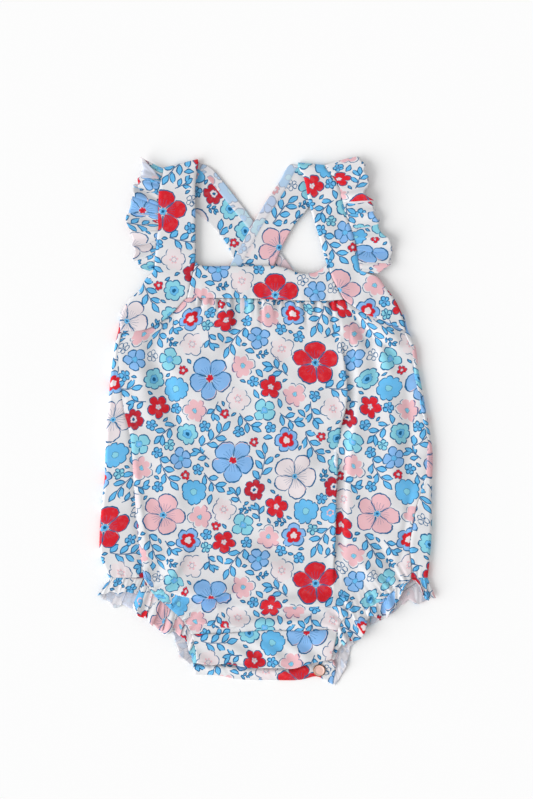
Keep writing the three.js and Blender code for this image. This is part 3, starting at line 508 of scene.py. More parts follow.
def front_panel():
    top = line(PANEL_TOP)
    ends, crotch = crotch_seam()
    left_leg = part_of(LEG["left"], 0, ends["left"])
    right_leg = part_of(LEG["right"], ends["right"], 0)
    bottom = by_length(np.vstack([left_leg, part_of(crotch, 0, 1)[1:], right_leg[1:]]))
    grid = patch(top, bottom, SIDE_SEAM["left"], SIDE_SEAM["right"], 226, 190)
    plain = grid[..., :2].copy()
    x, y = plain[..., 0], plain[..., 1]
    s = np.linspace(0, 1, grid.shape[1])[None, :]
    t = np.linspace(0, 1, grid.shape[0])[:, None]
    from_side = np.minimum(s, 1 - s)
    from_bottom = np.linalg.norm(grid - grid[-1:], axis=-1)
    folds = fold_height(x, y) * np.clip(from_side / 0.05, 0, 1) * np.clip(from_bottom / 8, 0, 1)
    below = np.maximum(0, BAND_BOTTOM_Y - y)
    gathers = 0.7 * waves(x, 4.6, 5) * np.exp(-((below / 9) ** 2)) * (np.abs(x) < 59)
    tucks = tuck_height(x, y) * np.clip((59 - np.abs(x)) / 4, 0, 1)
    shirring = leg_gathers(x, y, "left") * (x < 0) + leg_gathers(x, y, "right") * (x > 0)
    seam_dip = -0.4 * np.exp(-((from_side / 0.01) ** 2)) - TUCKED_DOWN * np.exp(-((t / 0.009) ** 2))
    on_crotch = (np.abs(x) < 57) * (y < CROTCH_ENDS["right"] + 4) * np.exp(-((from_bottom / 1.6) ** 2))
    seam_dip = seam_dip - TUCKED_DOWN * on_crotch
    grid[..., 1] += TUCKED * np.exp(-((t / 0.009) ** 2)) - TUCKED * on_crotch
    puckers = 0.4 * waves(y, 9, 7) * np.exp(-from_side / 0.04)
    grid[..., 2] = LAYER + folds + tucks + gathers + shirring + seam_dip + puckers + 0.5 * ripple(x, y, 2)
    lay_over(grid)
    grid[..., 2] = np.maximum(grid[..., 2], LOWEST)
    return grid, flat_places(grid, plain)


def back_panel():
    """Flat on the surface, turned up round both sides to the side seams in front."""
    floor_reach = 2.2
    low_edge = 1.4

    def edge(side, sign, first, last):
        inset = sign * (floor_reach + FLOOR)
        between = [(x - inset, y) for x, y in zip(SIDES[side][:-1], SIDES["y"][:-1])]
        return line([first, *between, last])

    left = edge("left", -1, BACK_TOP[0], BACK_BOTTOM[0])
    right = edge("right", 1, BACK_TOP[-1], BACK_BOTTOM[-1])
    flat = patch(line(BACK_TOP), line(BACK_BOTTOM), left, right, 110, 124)
    x, y = flat[..., 0], flat[..., 1]
    s = np.linspace(0, 1, flat.shape[1])[None, :]
    t = np.linspace(0, 1, flat.shape[0])[:, None]
    inside = np.clip(np.minimum(s, 1 - s) / 0.08, 0, 1) * np.clip(np.minimum(t, 1 - t) / 0.03, 0, 1)
    elastic = 0.8 * (1 + waves(x, 6, 11)) * np.exp(-((t / 0.09) ** 2)) * np.clip(s * 9, 0, 1) * np.clip(9 - s * 9, 0, 1)
    flat[..., 2] = FLOOR + inside * np.clip(0.5 + 0.75 * ripple(x, y, 4), 0, 1.6) + elastic

    def turned_up(side, sign):
        start = flat[:, 0 if sign < 0 else -1]
        above = start[:, 1] > SIDES["y"][0]
        climbed = np.clip((SIDES["y"][0] + 2 - start[:, 1]) / 5, 0, 1)
        height = low_edge + (LAYER - FLOOR - low_edge) * climbed
        out = np.where(above, start[:, 0] + sign * floor_reach, x_at(OUTLINE[side], start[:, 1]) - sign * FLOOR)
        seam = np.where(above, out - sign * 0.8, x_at(SIDE_SEAM[side], start[:, 1]) - sign * TUCKED)
        reach = np.minimum(floor_reach, np.abs(out - seam) * 0.6)
        rows = []
        for angle in np.radians([-60, -40, -20, 0, 20, 40, 60, 80]):
            bend = np.where(angle > 0, reach, floor_reach)
            arc_x = out - sign * bend * (1 - np.cos(angle))
            rows.append(np.stack([arc_x, start[:, 1], FLOOR + height / 2 * (1 + np.sin(angle))], -1))
        top_x = out - sign * reach
        for share in np.linspace(0, 1, 18):
            across = top_x + (seam - top_x) * share
            swell = 0.5 * ripple(across, start[:, 1], 6) * np.sin(np.pi * share) * climbed
            dip = -1.5 * np.exp(-(((1 - share) / 0.14) ** 2)) * climbed
            above_leg = start[:, 1] - BACK_BOTTOM[0][1]
            dip += 0.9 * waves(across, 4.6, 8) * np.exp(-((above_leg / 8) ** 2)) * np.sin(np.pi * share)
            rows.append(np.stack([across, start[:, 1], FLOOR + height + swell + dip], -1))
        return np.stack(rows, axis=1)

    whole = np.concatenate([turned_up("left", -1)[:, ::-1], flat, turned_up("right", 1)], axis=1)
    whole = whole[:, ::-1]
    return whole, wrapped_places(whole)


def front_band():
    edges = [line(BAND[side]) for side in ("top", "bottom", "left", "right")]
    grid = patch(*edges, 82, 22)
    t = np.linspace(0, 1, grid.shape[0])[:, None]
    plain = grid[..., :2].copy()
    x = plain[..., 0]
    rolled = -0.6 * np.exp(-((t / 0.05) ** 2)) - 0.25 * np.exp(-(((1 - t) / 0.05) ** 2))
    pulled = 0.45 * waves(x, 8, 21) * t**3
    grid[..., 2] = BAND_LAYER + rolled + pulled + 0.35 * ripple(x, plain[..., 1], 22)
    return grid, flat_places(grid, plain)


def front_placket():
    ends, top = crotch_seam()
    left = by_length(part_of(LEG["left"], ends["left"], 1))
    right = by_length(part_of(LEG["right"], ends["right"], 1))
    grid = patch(top, line(FLAP_EDGE), left, right, 96, 24)
    t = np.linspace(0, 1, grid.shape[0])[:, None]
    plain = grid[..., :2].copy()
    x, y = plain[..., 0], plain[..., 1]
    seam = -0.6 * np.exp(-((t / 0.06) ** 2))
    edge = (0.9 + 1.1 * waves(x, 26, 31)) * t**4
    puffed = 1.2 * waves(x + 1.4 * y, 30, 33) * np.sin(np.pi * t)
    stitched = -0.35 * np.exp(-(((t - 0.9) / 0.025) ** 2))
    grid[..., 2] = LAYER + 0.5 + seam + edge + puffed + stitched + 0.5 * ripple(x, y, 32)
    return grid, flat_places(grid, plain)


def back_placket():
    edges = [line(BACK_PLACKET[side]) for side in ("top", "bottom", "left", "right")]
    grid = patch(*edges, 76, 14)
    t = np.linspace(0, 1, grid.shape[0])[:, None]
    plain = grid[..., :2].copy()
    x, y = plain[..., 0], plain[..., 1]
    wrinkled = 0.9 * np.abs(waves(x + 0.8 * y, 11, 41)) * np.sin(np.pi * t)
    clear_of_snap = 1 - np.exp(-(((x - SNAP_X) / 8) ** 2))
    from_flap = np.interp(x, *zip(*FLAP_EDGE)) - y - 2.8
    crest = np.exp(-((from_flap / np.where(from_flap < 0, 1.5, 3.6)) ** 2))
    puffed = 4 * crest * (0.8 + 0.2 * waves(x, 34, 43)) * clear_of_snap
    grid[..., 2] = FLOOR + wrinkled + puffed
    return grid, flat_places(grid, plain)


def strap(side, sign):
    """A strap in one length: yoke and front, the turn over the shoulder, and the back."""
    shape = STRAPS[side]
    fold_outer = np.array([*shape["outer"][-1], 0.0])
    fold_inner = np.array([*shape["inner"][-1], 0.0])
    along = (fold_inner - fold_outer) / np.linalg.norm(fold_inner - fold_outer)
    beyond = -sign * np.array([-along[1], along[0], 0.0])
    radius = (LAYER - FLOOR) / 2
    start_outer = (fold_outer - beyond * (radius + CLOTH / 2))[:2]
    start_inner = (fold_inner - beyond * (radius + CLOTH / 2))[:2]
    fold = line([start_outer, start_inner])
    outer = line([*shape["outer"][:-1], start_outer])
    inner = line([*shape["inner"][:-1], start_inner])
    front = patch(line(shape["yoke"]), fold, outer, inner, 34, 92)
    s = np.linspace(0, 1, front.shape[1])[None, :]
    t = np.linspace(0, 1, front.shape[0])[:, None]
    width = np.linalg.norm(front[:, -1:] - front[:, :1], axis=-1)
    from_edge = np.minimum(s, 1 - s) * width
    crowned = 0.5 - 0.7 * np.exp(-((from_edge / 1.2) ** 2)) * np.clip(t * 12, 0, 1)
    seam_dip = -0.3 * np.exp(-((t / 0.012) ** 2))
    front[..., 2] = LAYER + crowned + seam_dip + 0.55 * ripple(front[..., 0], front[..., 1], 50 + sign)
    turns = [
        at(fold, s[0]) + beyond * radius * np.sin(angle) + [0, 0, FLOOR + radius * (1 + np.cos(angle))]
        for angle in np.linspace(0, np.pi, 12)[1:-1]
    ]
    back_outer = line([start_outer, *shape["back_outer"][1:]])
    back_inner = line([start_inner, *shape["back_inner"][1:]])
    rows = np.linspace(0, 1, BACK_ROWS)
    edge_outer = at(back_outer, rows)[:, None]
    edge_inner = at(back_inner, rows)[:, None]
    back = edge_outer + (edge_inner - edge_outer) * s[..., None]
    heights = shape["back_heights"]
    raised = np.interp(rows, heights["share"], heights["z"])[:, None]
    settled = np.clip(rows * 8, 0, 1)[:, None]
    back[..., 2] = raised + settled * (0.25 + 0.25 * ripple(back[..., 0], back[..., 1], 60 + sign))
    back[..., 2] += STRIP_RISE * settled * np.clip((s - 1 + STRIP_SHARE) * 40, 0, 1)
    grid = np.concatenate([front, np.stack(turns), back])
    turned = lengths_along(grid[len(front) - 1 : len(front) + len(turns) + 1], 0)[1:-1]
    turn_places = at(fold, s[0])[None] + turned[..., None] * beyond
    from_fold = (back - at(fold, 0)) @ beyond
    back_places = back + (np.pi * radius - 2 * from_fold)[..., None] * beyond
    places = np.concatenate([front, turn_places, back_places])[..., :2]
    if sign < 0:
        grid = grid[:, ::-1]
        places = places[:, ::-1]
    return grid, places


def pleated(places, pleats, full):
    """Places along a strip and their heights, once its pleats are folded over. full grows from seam to edge."""
    moved = places[:, None] + np.zeros_like(full)[None]
    height = np.zeros_like(moved)
    for place, width, over, rise in zip(*pleats.values()):
        shift, step = folded_over((places[:, None] - place) / width, over * full[None])
        moved += shift * width
        height += step * rise * full[None]
    return np.clip(moved, 0, 1), height


def ruffle(sewn_line, edge_line, name, sign, steps_along, steps_across, seed):
    """A gathered strip from its seam to its waving free edge, with pleats folded over and small gathers."""
    pleats = PLEATS[name]
    places = np.linspace(0, 1, steps_along)
    v = np.linspace(0, 1, steps_across)
    turn = 1 - np.interp(places, *TURNED_BACK.get(name, ([0], [0])))[:, None]
    moved, height = pleated(places, pleats, 0.3 + 0.7 * np.clip(v / 0.45, 0, 1))
    sewn = at(sewn_line, moved)
    edge = at(edge_line, moved)
    lobes = 1 + 0.13 * waves(places * 10, 1, seed + 3) * np.clip(np.minimum(places, 1 - places) * 9, 0, 1)
    reach = (1 - np.abs(v[None, :] - turn) / turn) * lobes[:, None] - 0.09 * (1 - v)[None, :]
    grid = sewn + (edge - sewn) * reach[..., None]
    grid[..., 2] += 1.3 * np.clip((v[None, :] - turn) / 0.08, 0, 1)
    grid[..., 2] -= TUCKED_DOWN * np.exp(-((v / 0.07) ** 2))[None, :]
    length = np.linalg.norm(np.diff(sewn[:, 0], axis=0), axis=1).sum()
    gathers = waves(places * length, 4.4, seed)[:, None] * (np.sin(np.pi * v**0.7) * 0.65)[None, :]
    hem = waves(places * length, 7.5, seed + 5)[:, None] * (v**3)[None, :] * 0.8
    ends = np.clip(np.minimum(places, 1 - places) * 14, 0, 1)[:, None]
    raised = np.clip(grid[..., 2] / 3, 0.4, 1)
    grid[..., 2] = np.maximum(SINGLE, grid[..., 2] + raised * ends * (height * v[None, :] ** 0.3 + gathers + hem))
    grid = grid[:, ::-1] if sign < 0 else grid
    return grid, strip_places(grid)


def leg_frill_front(side, sign):
    waves_of = FRONT_FRILLS[side]
    sewn = by_length(LEG[side][1] + [0, 0, LAYER])
    edge = edge_through(waves_of)
    return ruffle(sewn, edge, side + "_leg_frill_front", sign, 230, 12, 70 + sign)


def strap_ruffle(side, sign):
    sewn = by_length(spline(STRAP_RUFFLE_SEAMS[side]) + [0, 0, LAYER])
    edge = edge_through(STRAP_RUFFLES[side])
    return ruffle(sewn, edge, side + "_strap_ruffle", sign, 280, 20, 80 + sign)


def edge_through(rows):
    """The free edge, read by the share of the seam beside it."""
    shares, points = line_by_rows([rows[name] for name in ("x", "y", "z")])
    return np.interp(shares, np.linspace(0, 1, len(rows["share"])), rows["share"]), points


def leg_frill_back(side, sign):
    shape = BACK_FRILLS[side]
    sewn = line_by_rows([shape[name] for name in ("line_x", "line_y", "line_z")])
    edge = line_by_rows([shape[name] for name in ("x", "y", "z")])
    return ruffle(sewn, edge, side + "_leg_frill_back", -sign, 300, 12, 90 + sign)


# The print. One repeat is scattered once, and every piece is cut from the same cloth at its own place.

REPEAT = 172
SPACE = 0.25
TRIES = 700
EVENNESS = 0.06
# Shares of a flower's radius and of a leaf's length that are kept free for it
FLOWER_ROOM = 0.97
SPRIG_ROOM = 0.6
LEAF_ROOM = 0.34
CELL = 0.5
WRONG_GROUND = "#dfdce2"
SLUB = "#aeaebb"
INKS = {
    "ground": "#e0e0e2",
    "red": "#d31325",
    "crimson": "#b9142a",
    "periwinkle": "#84b6ea",
    "sky": "#64b8ea",
    "aqua": "#87cee0",
    "pink": "#e5b6bd",
    "blush": "#e3d9dc",
    "navy": "#005c8c",
}

# Flowers: swell and power shape the petals, heart is a share of the radius, rim and offset are in mm
BLOOM_COLUMNS = (
    "count radius petals swell power heart lines veins rim dots offset petal_ink heart_ink eye_ink".split()
)
BLOOMS = {
    "red_bloom": (1, 18.5, 5, 0.50, 0.36, 0.17, 1, 1, 1.05, 0, 0.5, "red", "sky", "navy"),
    "blue_bloom": (2, 17.5, 5, 0.48, 0.36, 0.17, 1, 1, 1.05, 0, 0.9, "periwinkle", "red", "crimson"),
    "pink_bloom": (1, 17.5, 5, 0.50, 0.36, 0.15, 1, 1, 1.05, 0, 0.6, "pink", "sky", "navy"),
    "white_bloom": (1, 18.0, 5, 0.50, 0.36, 0.12, 1, 1, 1.05, 0, 0.8, "blush", "sky", "navy"),
    "red_flower": (5, 9.6, 5, 0.50, 0.46, 0.24, 0, 0, 0.95, 0, 0, "red", "blush", "pink"),
    "rimmed_rosette": (3, 10.2, 5, 0.34, 0.5, 0.62, 0, 0, 0.95, 0, 0, "periwinkle", "red", "blush"),
    "red_rosette": (3, 8.8, 6, 0.30, 0.5, 0.34, 0, 0, 0.6, 0, 0, "crimson", "blush", "navy"),
    "aqua_rosette": (4, 8.8, 7, 0.24, 0.5, 0.42, 0, 0, 0.95, 0, 0, "aqua", "sky", "navy"),
    "aqua_four": (4, 9.4, 4, 0.46, 0.4, 0.30, 1, 0, 0.9, 0, 0, "aqua", "sky", "periwinkle"),
    "sky_flower": (5, 8.4, 5, 0.28, 0.5, 0.20, 0, 0, 0.8, 1, 0, "sky", "sky", "sky"),
    "sky_rosette": (3, 10.4, 8, 0.20, 0.5, 0.26, 0, 0, 0.8, 0, 0, "sky", "aqua", "aqua"),
    "teal_flower": (3, 8.4, 5, 0.28, 0.5, 0.20, 0, 0, 0.8, 1, 0, "aqua", "aqua", "aqua"),
    "periwinkle_flower": (3, 9.2, 5, 0.38, 0.46, 0.24, 1, 0, 0.9, 0, 0, "periwinkle", "sky", "sky"),
    "pink_rosette": (7, 9.8, 6, 0.36, 0.5, 0.20, 0, 0, 0.7, 0, 1.2, "pink", "aqua", "sky"),
    "blush_rosette": (6, 9.8, 6, 0.30, 0.5, 0.20, 0, 0, 0.7, 1, 0.9, "blush", "blush", "blush"),
    "forget_me_not": (24, 4.7, 5, 0.42, 0.45, 0.24, 1, 0, 0.9, 0, 0, "sky", "periwinkle", "navy"),
    "pale_forget_me_not": (13, 4.7, 5, 0.42, 0.45, 0.22, 1, 0, 0.9, 0, 0, "aqua", "aqua", "navy"),
    "outlined_flower": (8, 4.7, 5, 0.42, 0.45, 0.22, 1, 0, 0.65, 0, 0, "ground", "ground", "navy"),
    "small_red": (14, 4.0, 5, 0.44, 0.5, 0.34, 0, 0, 0.45, 0, 0, "red", "blush", "blush"),
    "small_pink": (5, 4.4, 5, 0.44, 0.5, 0.34, 0, 0, 0.4, 0, 0, "pink", "crimson", "crimson"),
    "star": (7, 4.0, 5, -0.52, 0.75, 0.0, 0, 0, 0, 0, 0, "navy", "navy", "navy"),
}

# Sprigs: half the stem's length, the length of a leaf, the space from leaf to leaf, and whether it has side leaves
SPRIG_COLUMNS = "count half leaf pitch sides".split()
SPRIGS = {
    "branch": (8, 14.6, 9.2, 8.2, 1),
    "spray": (13, 11.2, 8.4, 7.6, 1),
    "pair": (18, 7.8, 7.2, 7.0, 1),
    "twig": (34, 5.0, 4.2, 4.0, 1),
    "leaf": (36, 4.0, 7.8, 5.0, 0),
    "bud": (40, 2.6, 4.6, 3.0, 0),
}
# The largest flowers stand where they are put; the rest fall where there is room
PLACED = [
    ("red_bloom", 38, 44), ("blue_bloom", 128, 32), ("pink_bloom", 92, 98), ("white_bloom", 22, 128),
    ("blue_bloom", 146, 140),
]


def kinds(columns, rows):
    """Rows of mixed numbers and names as dictionaries."""
    return {name: dict(zip(columns, row), name=name) for name, row in rows.items()}


def sprig_circles(kind, x, y, angle):
    """Circles along the stem that together cover a sprig, for a number of tries at placing it."""
    width = kind["leaf"] * (SPRIG_ROOM if kind["sides"] else LEAF_ROOM)
    count = max(2, round(2 * kind["half"] / (1.5 * width)))
    along = np.linspace(width - kind["half"], kind["half"] * 1.05 - width, count)
    right = x[:, None] + along * np.cos(angle)[:, None]
    up = y[:, None] + along * np.sin(angle)[:, None]
    return np.stack([right, up, np.full(right.shape, width)], -1)


def bloom_circles(kind, x, y, _):
    return np.stack([x, y, np.full(x.shape, kind["radius"] * FLOWER_ROOM)], -1)[:, None]


def apart(laid, new):
    """Distance from the middles of new circles to those laid, over the edges of the repeat too."""
    gap = np.abs(laid[:, :2] - new[:, :, None, :2]) % REPEAT
    gap = np.minimum(gap, REPEAT - gap)
    return np.hypot(gap[..., 0], gap[..., 1])


def scattered():
    """Places of all the motifs in one repeat: a list for the flowers, one for the sprigs, and their circles."""
    rng = np.random.default_rng(12)
    motifs = {"bloom": [], "sprig": []}
    circles = {"bloom": np.zeros((0, 4)), "sprig": np.zeros((0, 4))}
    everything = np.zeros((0, 3))

    def add(layer, kind, x, y, angle, new):
        nonlocal everything
        owner = np.full(len(new), len(motifs[layer]))
        motifs[layer].append((kind, x, y, angle))
        circles[layer] = np.vstack([circles[layer], np.c_[new, owner]])
        everything = np.vstack([everything, new])

    bloom_kinds = kinds(BLOOM_COLUMNS, BLOOMS)
    for name, *place in PLACED:
        kind = bloom_kinds[name]
        x, y = np.array(place, float)
        add("bloom", kind, x, y, rng.random() * 6.28, np.array([[x, y, kind["radius"]]]))
        kind["count"] -= 1
    ranked = [("bloom", kind, kind["radius"], bloom_circles) for kind in bloom_kinds.values()]
    ranked += [
        ("sprig", kind, 0.78 * kind["half"], sprig_circles) for kind in kinds(SPRIG_COLUMNS, SPRIGS).values()
    ]
    for layer, kind, _, circles_of in sorted(ranked, key=lambda row: -row[2]):
        alike = np.zeros((0, 3))
        for _ in range(kind["count"]):
            x, y = rng.random((2, TRIES)) * REPEAT
            angle = rng.random(TRIES) * 2 * np.pi
            new = circles_of(kind, x, y, angle)
            gap = (apart(everything, new) - everything[:, 2] - new[:, :, None, 2]).min(axis=(1, 2))
            score = gap.copy()
            if len(alike):
                score -= EVENNESS * apart(alike, new).min(axis=(1, 2))
            score[gap < SPACE] = np.inf
            best = score.argmin()
            if score[best] < np.inf:
                add(layer, kind, x[best], y[best], angle[best], new[best])
                alike = np.vstack([alike, new[best]])
    return motifs, circles


def owners(circles):
    """Which motif is nearest, for each cell of the repeat."""
    middles = (np.arange(int(REPEAT / CELL)) + 0.5) * CELL
    nearest = np.full((len(middles), len(middles)), np.inf)
    owner = np.zeros(nearest.shape, int)
    for x, y, radius, number in circles:
        gap_x = np.abs(middles - x) % REPEAT
        gap_y = np.abs(middles - y) % REPEAT
        gap_x = np.minimum(gap_x, REPEAT - gap_x)
        gap_y = np.minimum(gap_y, REPEAT - gap_y)
        distance = np.hypot(gap_x[:, None], gap_y[None, :]) - radius
        closer = distance < nearest
        nearest[closer] = distance[closer]
        owner[closer] = int(number)
    return owner


MOTIFS, CIRCLES = scattered()
OWNERS = {layer: owners(circles) for layer, circles in CIRCLES.items()}
SIZE_OF = {"bloom": "radius", "sprig": "half"}
# What the material reads of each face's motif, three numbers at a time
TRAITS = {
    "bloom": {
        "bloom_form": ("petals", "swell", "power"),
        "bloom_core": ("heart", "lines", "veins"),
        "bloom_edge": ("rim", "dots", "offset"),
        "bloom_inks": ("petal_ink", "heart_ink", "eye_ink"),
    },
    "sprig": {"sprig_form": ("leaf", "pitch", "sides")},
}


def number_of(value):
    return list(INKS).index(value) if isinstance(value, str) else value


def add_attribute(mesh, name, domain, values):
    layer = mesh.attributes.new(name, "FLOAT_VECTOR", domain)
    layer.data.foreach_set("vector", np.ascontiguousarray(values, dtype=np.float32).ravel())


def print_on(mesh, corners):
    """Gives each face the motif of each layer that it lies nearest to. corners holds cloth places by face."""
    middle = corners.mean(axis=1)
    cell = ((middle % REPEAT) / CELL).astype(int) % int(REPEAT / CELL)
    add_attribute(mesh, "cloth", "CORNER", np.concatenate([corners, np.zeros_like(corners[..., :1])], -1))
    for layer, motifs in MOTIFS.items():
        owner = OWNERS[layer][cell[:, 0], cell[:, 1]]
        place = np.array([(x, y) for _, x, y, _ in motifs])[owner]
        angle = np.array([angle for *_, angle in motifs])[owner][:, None]
        size = np.array([kind[SIZE_OF[layer]] for kind, *_ in motifs])[owner][:, None]
        turns = np.round((middle - place) / REPEAT) * REPEAT
        gap = corners - (place + turns)[:, None]
        x = gap[..., 0] * np.cos(angle) + gap[..., 1] * np.sin(angle)
        y = gap[..., 1] * np.cos(angle) - gap[..., 0] * np.sin(angle)
        add_attribute(mesh, layer + "_at", "CORNER", np.stack([x, y, np.broadcast_to(size, x.shape)], -1))
        for name, traits in TRAITS[layer].items():
            values = np.array([[number_of(kind[trait]) for trait in traits] for kind, *_ in motifs], float)
            add_attribute(mesh, name, "FACE", values[owner])


# Where on the cloth each piece is cut: right, up, and turned by some degrees
CUTS = {
    "front_panel": (0, 0, 0),
    "back_panel": (63, 41, 0),
    "front_band": (31, 118, 0),
    "front_placket": (97, 23, 0),
    "back_placket": (12, 77, 0),
    "left_strap": (140, 66, 8),
    "right_strap": (18, 9, -11),
    "left_strap_ruffle": (71, 130, 90),
    "right_strap_ruffle": (150, 20, 90),
    "left_leg_frill_front": (44, 90, 90),
    "right_leg_frill_front": (110, 140, 90),
    "left_leg_frill_back": (5, 60, 90),
    "right_leg_frill_back": (84, 5, 90),
}


def lengths_along(grid, axis):
    """Length from the first row or column of a grid to each of its points."""
    first = grid[:1] if axis == 0 else grid[:, :1]
    steps = np.diff(grid, axis=axis, prepend=first)
    return np.cumsum(np.linalg.norm(steps, axis=-1), axis=axis)


def flat_places(grid, plain):
    """Cloth that lies nearly flat keeps its plain places, apart from the length that its folds take up."""
    right = lengths_along(grid, 1) - lengths_along(plain, 1)
    down = lengths_along(grid, 0) - lengths_along(plain, 0)
    middle = grid.shape[1] // 2
    return np.stack([plain[..., 0] + right - right[:, middle, None], plain[..., 1] - down], -1)


def wrapped_places(grid):
    """Cloth that goes round a bend is measured along its rows and columns."""
    across = lengths_along(grid, 1)
    return np.stack([across - across[:, grid.shape[1] // 2, None], -lengths_along(grid, 0)], -1)


def strip_places(grid):
    """A gathered strip is as long on its cloth as its free edge."""
    along = lengths_along(grid, 0)
    along = np.maximum(along[:, :1], along[:, -1:])
    return np.stack([lengths_along(grid, 1), np.broadcast_to(-along, grid.shape[:2])], -1)


def cut_from(places, cut):
    right, up, degrees = cut
    turn = np.radians(degrees)
    x = right + places[..., 0] * np.cos(turn) - places[..., 1] * np.sin(turn)
    y = up + places[..., 0] * np.sin(turn) + places[..., 1] * np.cos(turn)
    return np.stack([x, y], -1)


# Share of the texture's width for the outer side, and where the inner side and the rim lie
MAP_OUTER = 0.76
MAP_RIM = (0.765, 0.78)
MAP_INNER = (0.785, 0.995)


def quads(rows, columns):
    """Corners of the faces of a grid, as row and column numbers by face and corner."""
    i, j = (values.ravel() for values in np.mgrid[0 : rows - 1, 0 : columns - 1])
    return np.stack([i, i + 1, i + 1, i], -1), np.stack([j, j, j + 1, j + 1], -1)


def shell(name, grid, places, pale_inside, thickness):
    """A closed thin shell of printed cloth. pale_inside says which faces show the wrong side within."""
    rows, columns = grid.shape[:2]
    normal = np.cross(np.gradient(grid, axis=0), np.gradient(grid, axis=1))
    normal /= np.linalg.norm(normal, axis=-1, keepdims=True)
    sides = np.stack([grid + normal * thickness / 2, grid - normal * thickness / 2])
    i, j = quads(rows, columns)
    zeros = np.zeros_like(i)
    outer = np.stack([zeros, i, j], -1)
    inner = np.stack([zeros + 1, i, j], -1)[:, ::-1]
    down = np.arange(rows - 1)
    along = np.arange(columns - 1)

    def rim(first_i, first_j, second_i, second_j):
        corners = [(0, first_i, first_j), (0, second_i, second_j), (1, second_i, second_j), (1, first_i, first_j)]
        count = len(down) if np.ndim(first_i) else len(along)
        return np.stack([np.stack([np.broadcast_to(value, count) for value in corner], -1) for corner in corners], 1)

    rims = [
        rim(0, along, 0, along + 1),
        rim(down, columns - 1, down + 1, columns - 1),
        rim(rows - 1, along + 1, rows - 1, along),
        rim(down + 1, 0, down, 0),
    ]
    corners = np.concatenate([outer, inner, *rims])
    side, row, column = corners[..., 0], corners[..., 1], corners[..., 2]
    mesh = bpy.data.meshes.new(name)
    numbers = side * rows * columns + row * columns + column
    mesh.from_pydata((sides.reshape(-1, 3) * MM).tolist(), [], numbers.tolist())
    mesh.polygons.foreach_set("use_smooth", np.ones(len(numbers), bool))
    slots = np.zeros(len(numbers), np.int32)
    slots[len(outer) : 2 * len(outer)] = pale_inside.ravel()
    mesh.polygons.foreach_set("material_index", slots)
    u = np.where(side == 0, MAP_OUTER * column / (columns - 1), 0)
    inner_u = MAP_INNER[0] + (MAP_INNER[1] - MAP_INNER[0]) * column / (columns - 1)
    u = np.where(side == 1, inner_u, u)
    v = row / (rows - 1)
    first_rim = 2 * len(outer)
    rim_side = side[first_rim:]
    u[first_rim:] = np.where(rim_side == 0, *MAP_RIM)
    step = np.arange(len(numbers) - first_rim)[:, None] + np.array([0, 1, 1, 0])
    v[first_rim:] = step / (len(numbers) - first_rim)
    uv = mesh.uv_layers.new(name="OFBake")
    uv.data.foreach_set("uv", np.stack([u, v], -1).astype(np.float32).ravel())
    cloth = places[row, column]
    cloth[slots == 1] += FACING_CUT
    print_on(mesh, cloth)
    mesh.update()
    return mesh


# Materials


def linear(colour):
    """A colour written as #rrggbb, as Blender's linear numbers."""
    parts = np.array([int(colour[k : k + 2], 16) for k in (1, 3, 5)]) / 255
    return (*np.where(parts > 0.04045, ((parts + 0.055) / 1.055) ** 2.4, parts / 12.92), 1.0)


class Value:
    """A number in a node tree, so that a drawing reads as a formula."""

    def __init__(self, tree, socket):
        self.tree = tree
        self.socket = socket

    def made(self, operation, *others):
        node = self.tree.nodes.new("ShaderNodeMath")
        node.operation = operation
        for slot, value in zip(node.inputs, (self, *others)):
            if isinstance(value, Value):
                self.tree.links.new(value.socket, slot)
            else:
                slot.default_value = value
        return Value(self.tree, node.outputs[0])

    def __add__(self, other):
        return self.made("ADD", other)

    def __sub__(self, other):
        return self.made("SUBTRACT", other)

    def __mul__(self, other):
        return self.made("MULTIPLY", other)

    def __truediv__(self, other):
        return self.made("DIVIDE", other)

    def __pow__(self, other):
        return self.made("POWER", other)

    def __abs__(self):
        return self.made("ABSOLUTE")

    def flipped(self):
        """One less this number."""
        return (self * -1) + 1

    def inside(self, blur=0.32):
        """1 where this distance in mm is well above nought, 0 where it is well below."""
        return ((self / blur) + 0.5).made("MINIMUM", 1.0).made("MAXIMUM", 0.0)

    def stroke(self, width):
        """A drawn line of some width where this distance is nought."""
        return (abs(self) * -1 + width / 2 if not isinstance(width, Value) else width / 2 - abs(self)).inside()


def three(tree, name):
    """The three numbers of an attribute."""
    source = tree.nodes.new("ShaderNodeAttribute")
    source.attribute_name = name
    split = tree.nodes.new("ShaderNodeSeparateXYZ")
    tree.links.new(source.outputs["Vector"], split.inputs[0])
    return [Value(tree, output) for output in split.outputs]


def mixed(tree, share, under, over):
    """A colour with another laid over it by a share. Each is a socket or a colour."""
    node = tree.nodes.new("ShaderNodeMix")
    node.data_type = "RGBA"
    tree.links.new(share.socket, node.inputs["Factor"])
    for slot, colour in ((node.inputs[6], under), (node.inputs[7], over)):
        if isinstance(colour, bpy.types.NodeSocket):
            tree.links.new(colour, slot)
        else:
            slot.default_value = colour
    return node.outputs[2]


def ink(tree, number):
    """The colour of an ink by its number."""
    ramp = tree.nodes.new("ShaderNodeValToRGB")
    ramp.color_ramp.interpolation = "CONSTANT"
    stops = ramp.color_ramp.elements
    while len(stops) < len(INKS):
        stops.new(1.0)
    for k, colour in enumerate(INKS.values()):
        stops[k].position = k / len(INKS)
        stops[k].color = linear(colour)
    tree.links.new(((number + 0.5) / len(INKS)).socket, ramp.inputs[0])
    return ramp.outputs[0]


def noise(tree, places, scale, detail=2.0):
    """Soft noise over the cloth: its value and its three colour channels."""
    node = tree.nodes.new("ShaderNodeTexNoise")
    node.inputs["Scale"].default_value = scale
    node.inputs["Detail"].default_value = detail
    tree.links.new(places, node.inputs["Vector"])
    split = tree.nodes.new("ShaderNodeSeparateColor")
    tree.links.new(node.outputs["Color"], split.inputs[0])
    return Value(tree, node.outputs[0]), [Value(tree, output) for output in split.outputs]


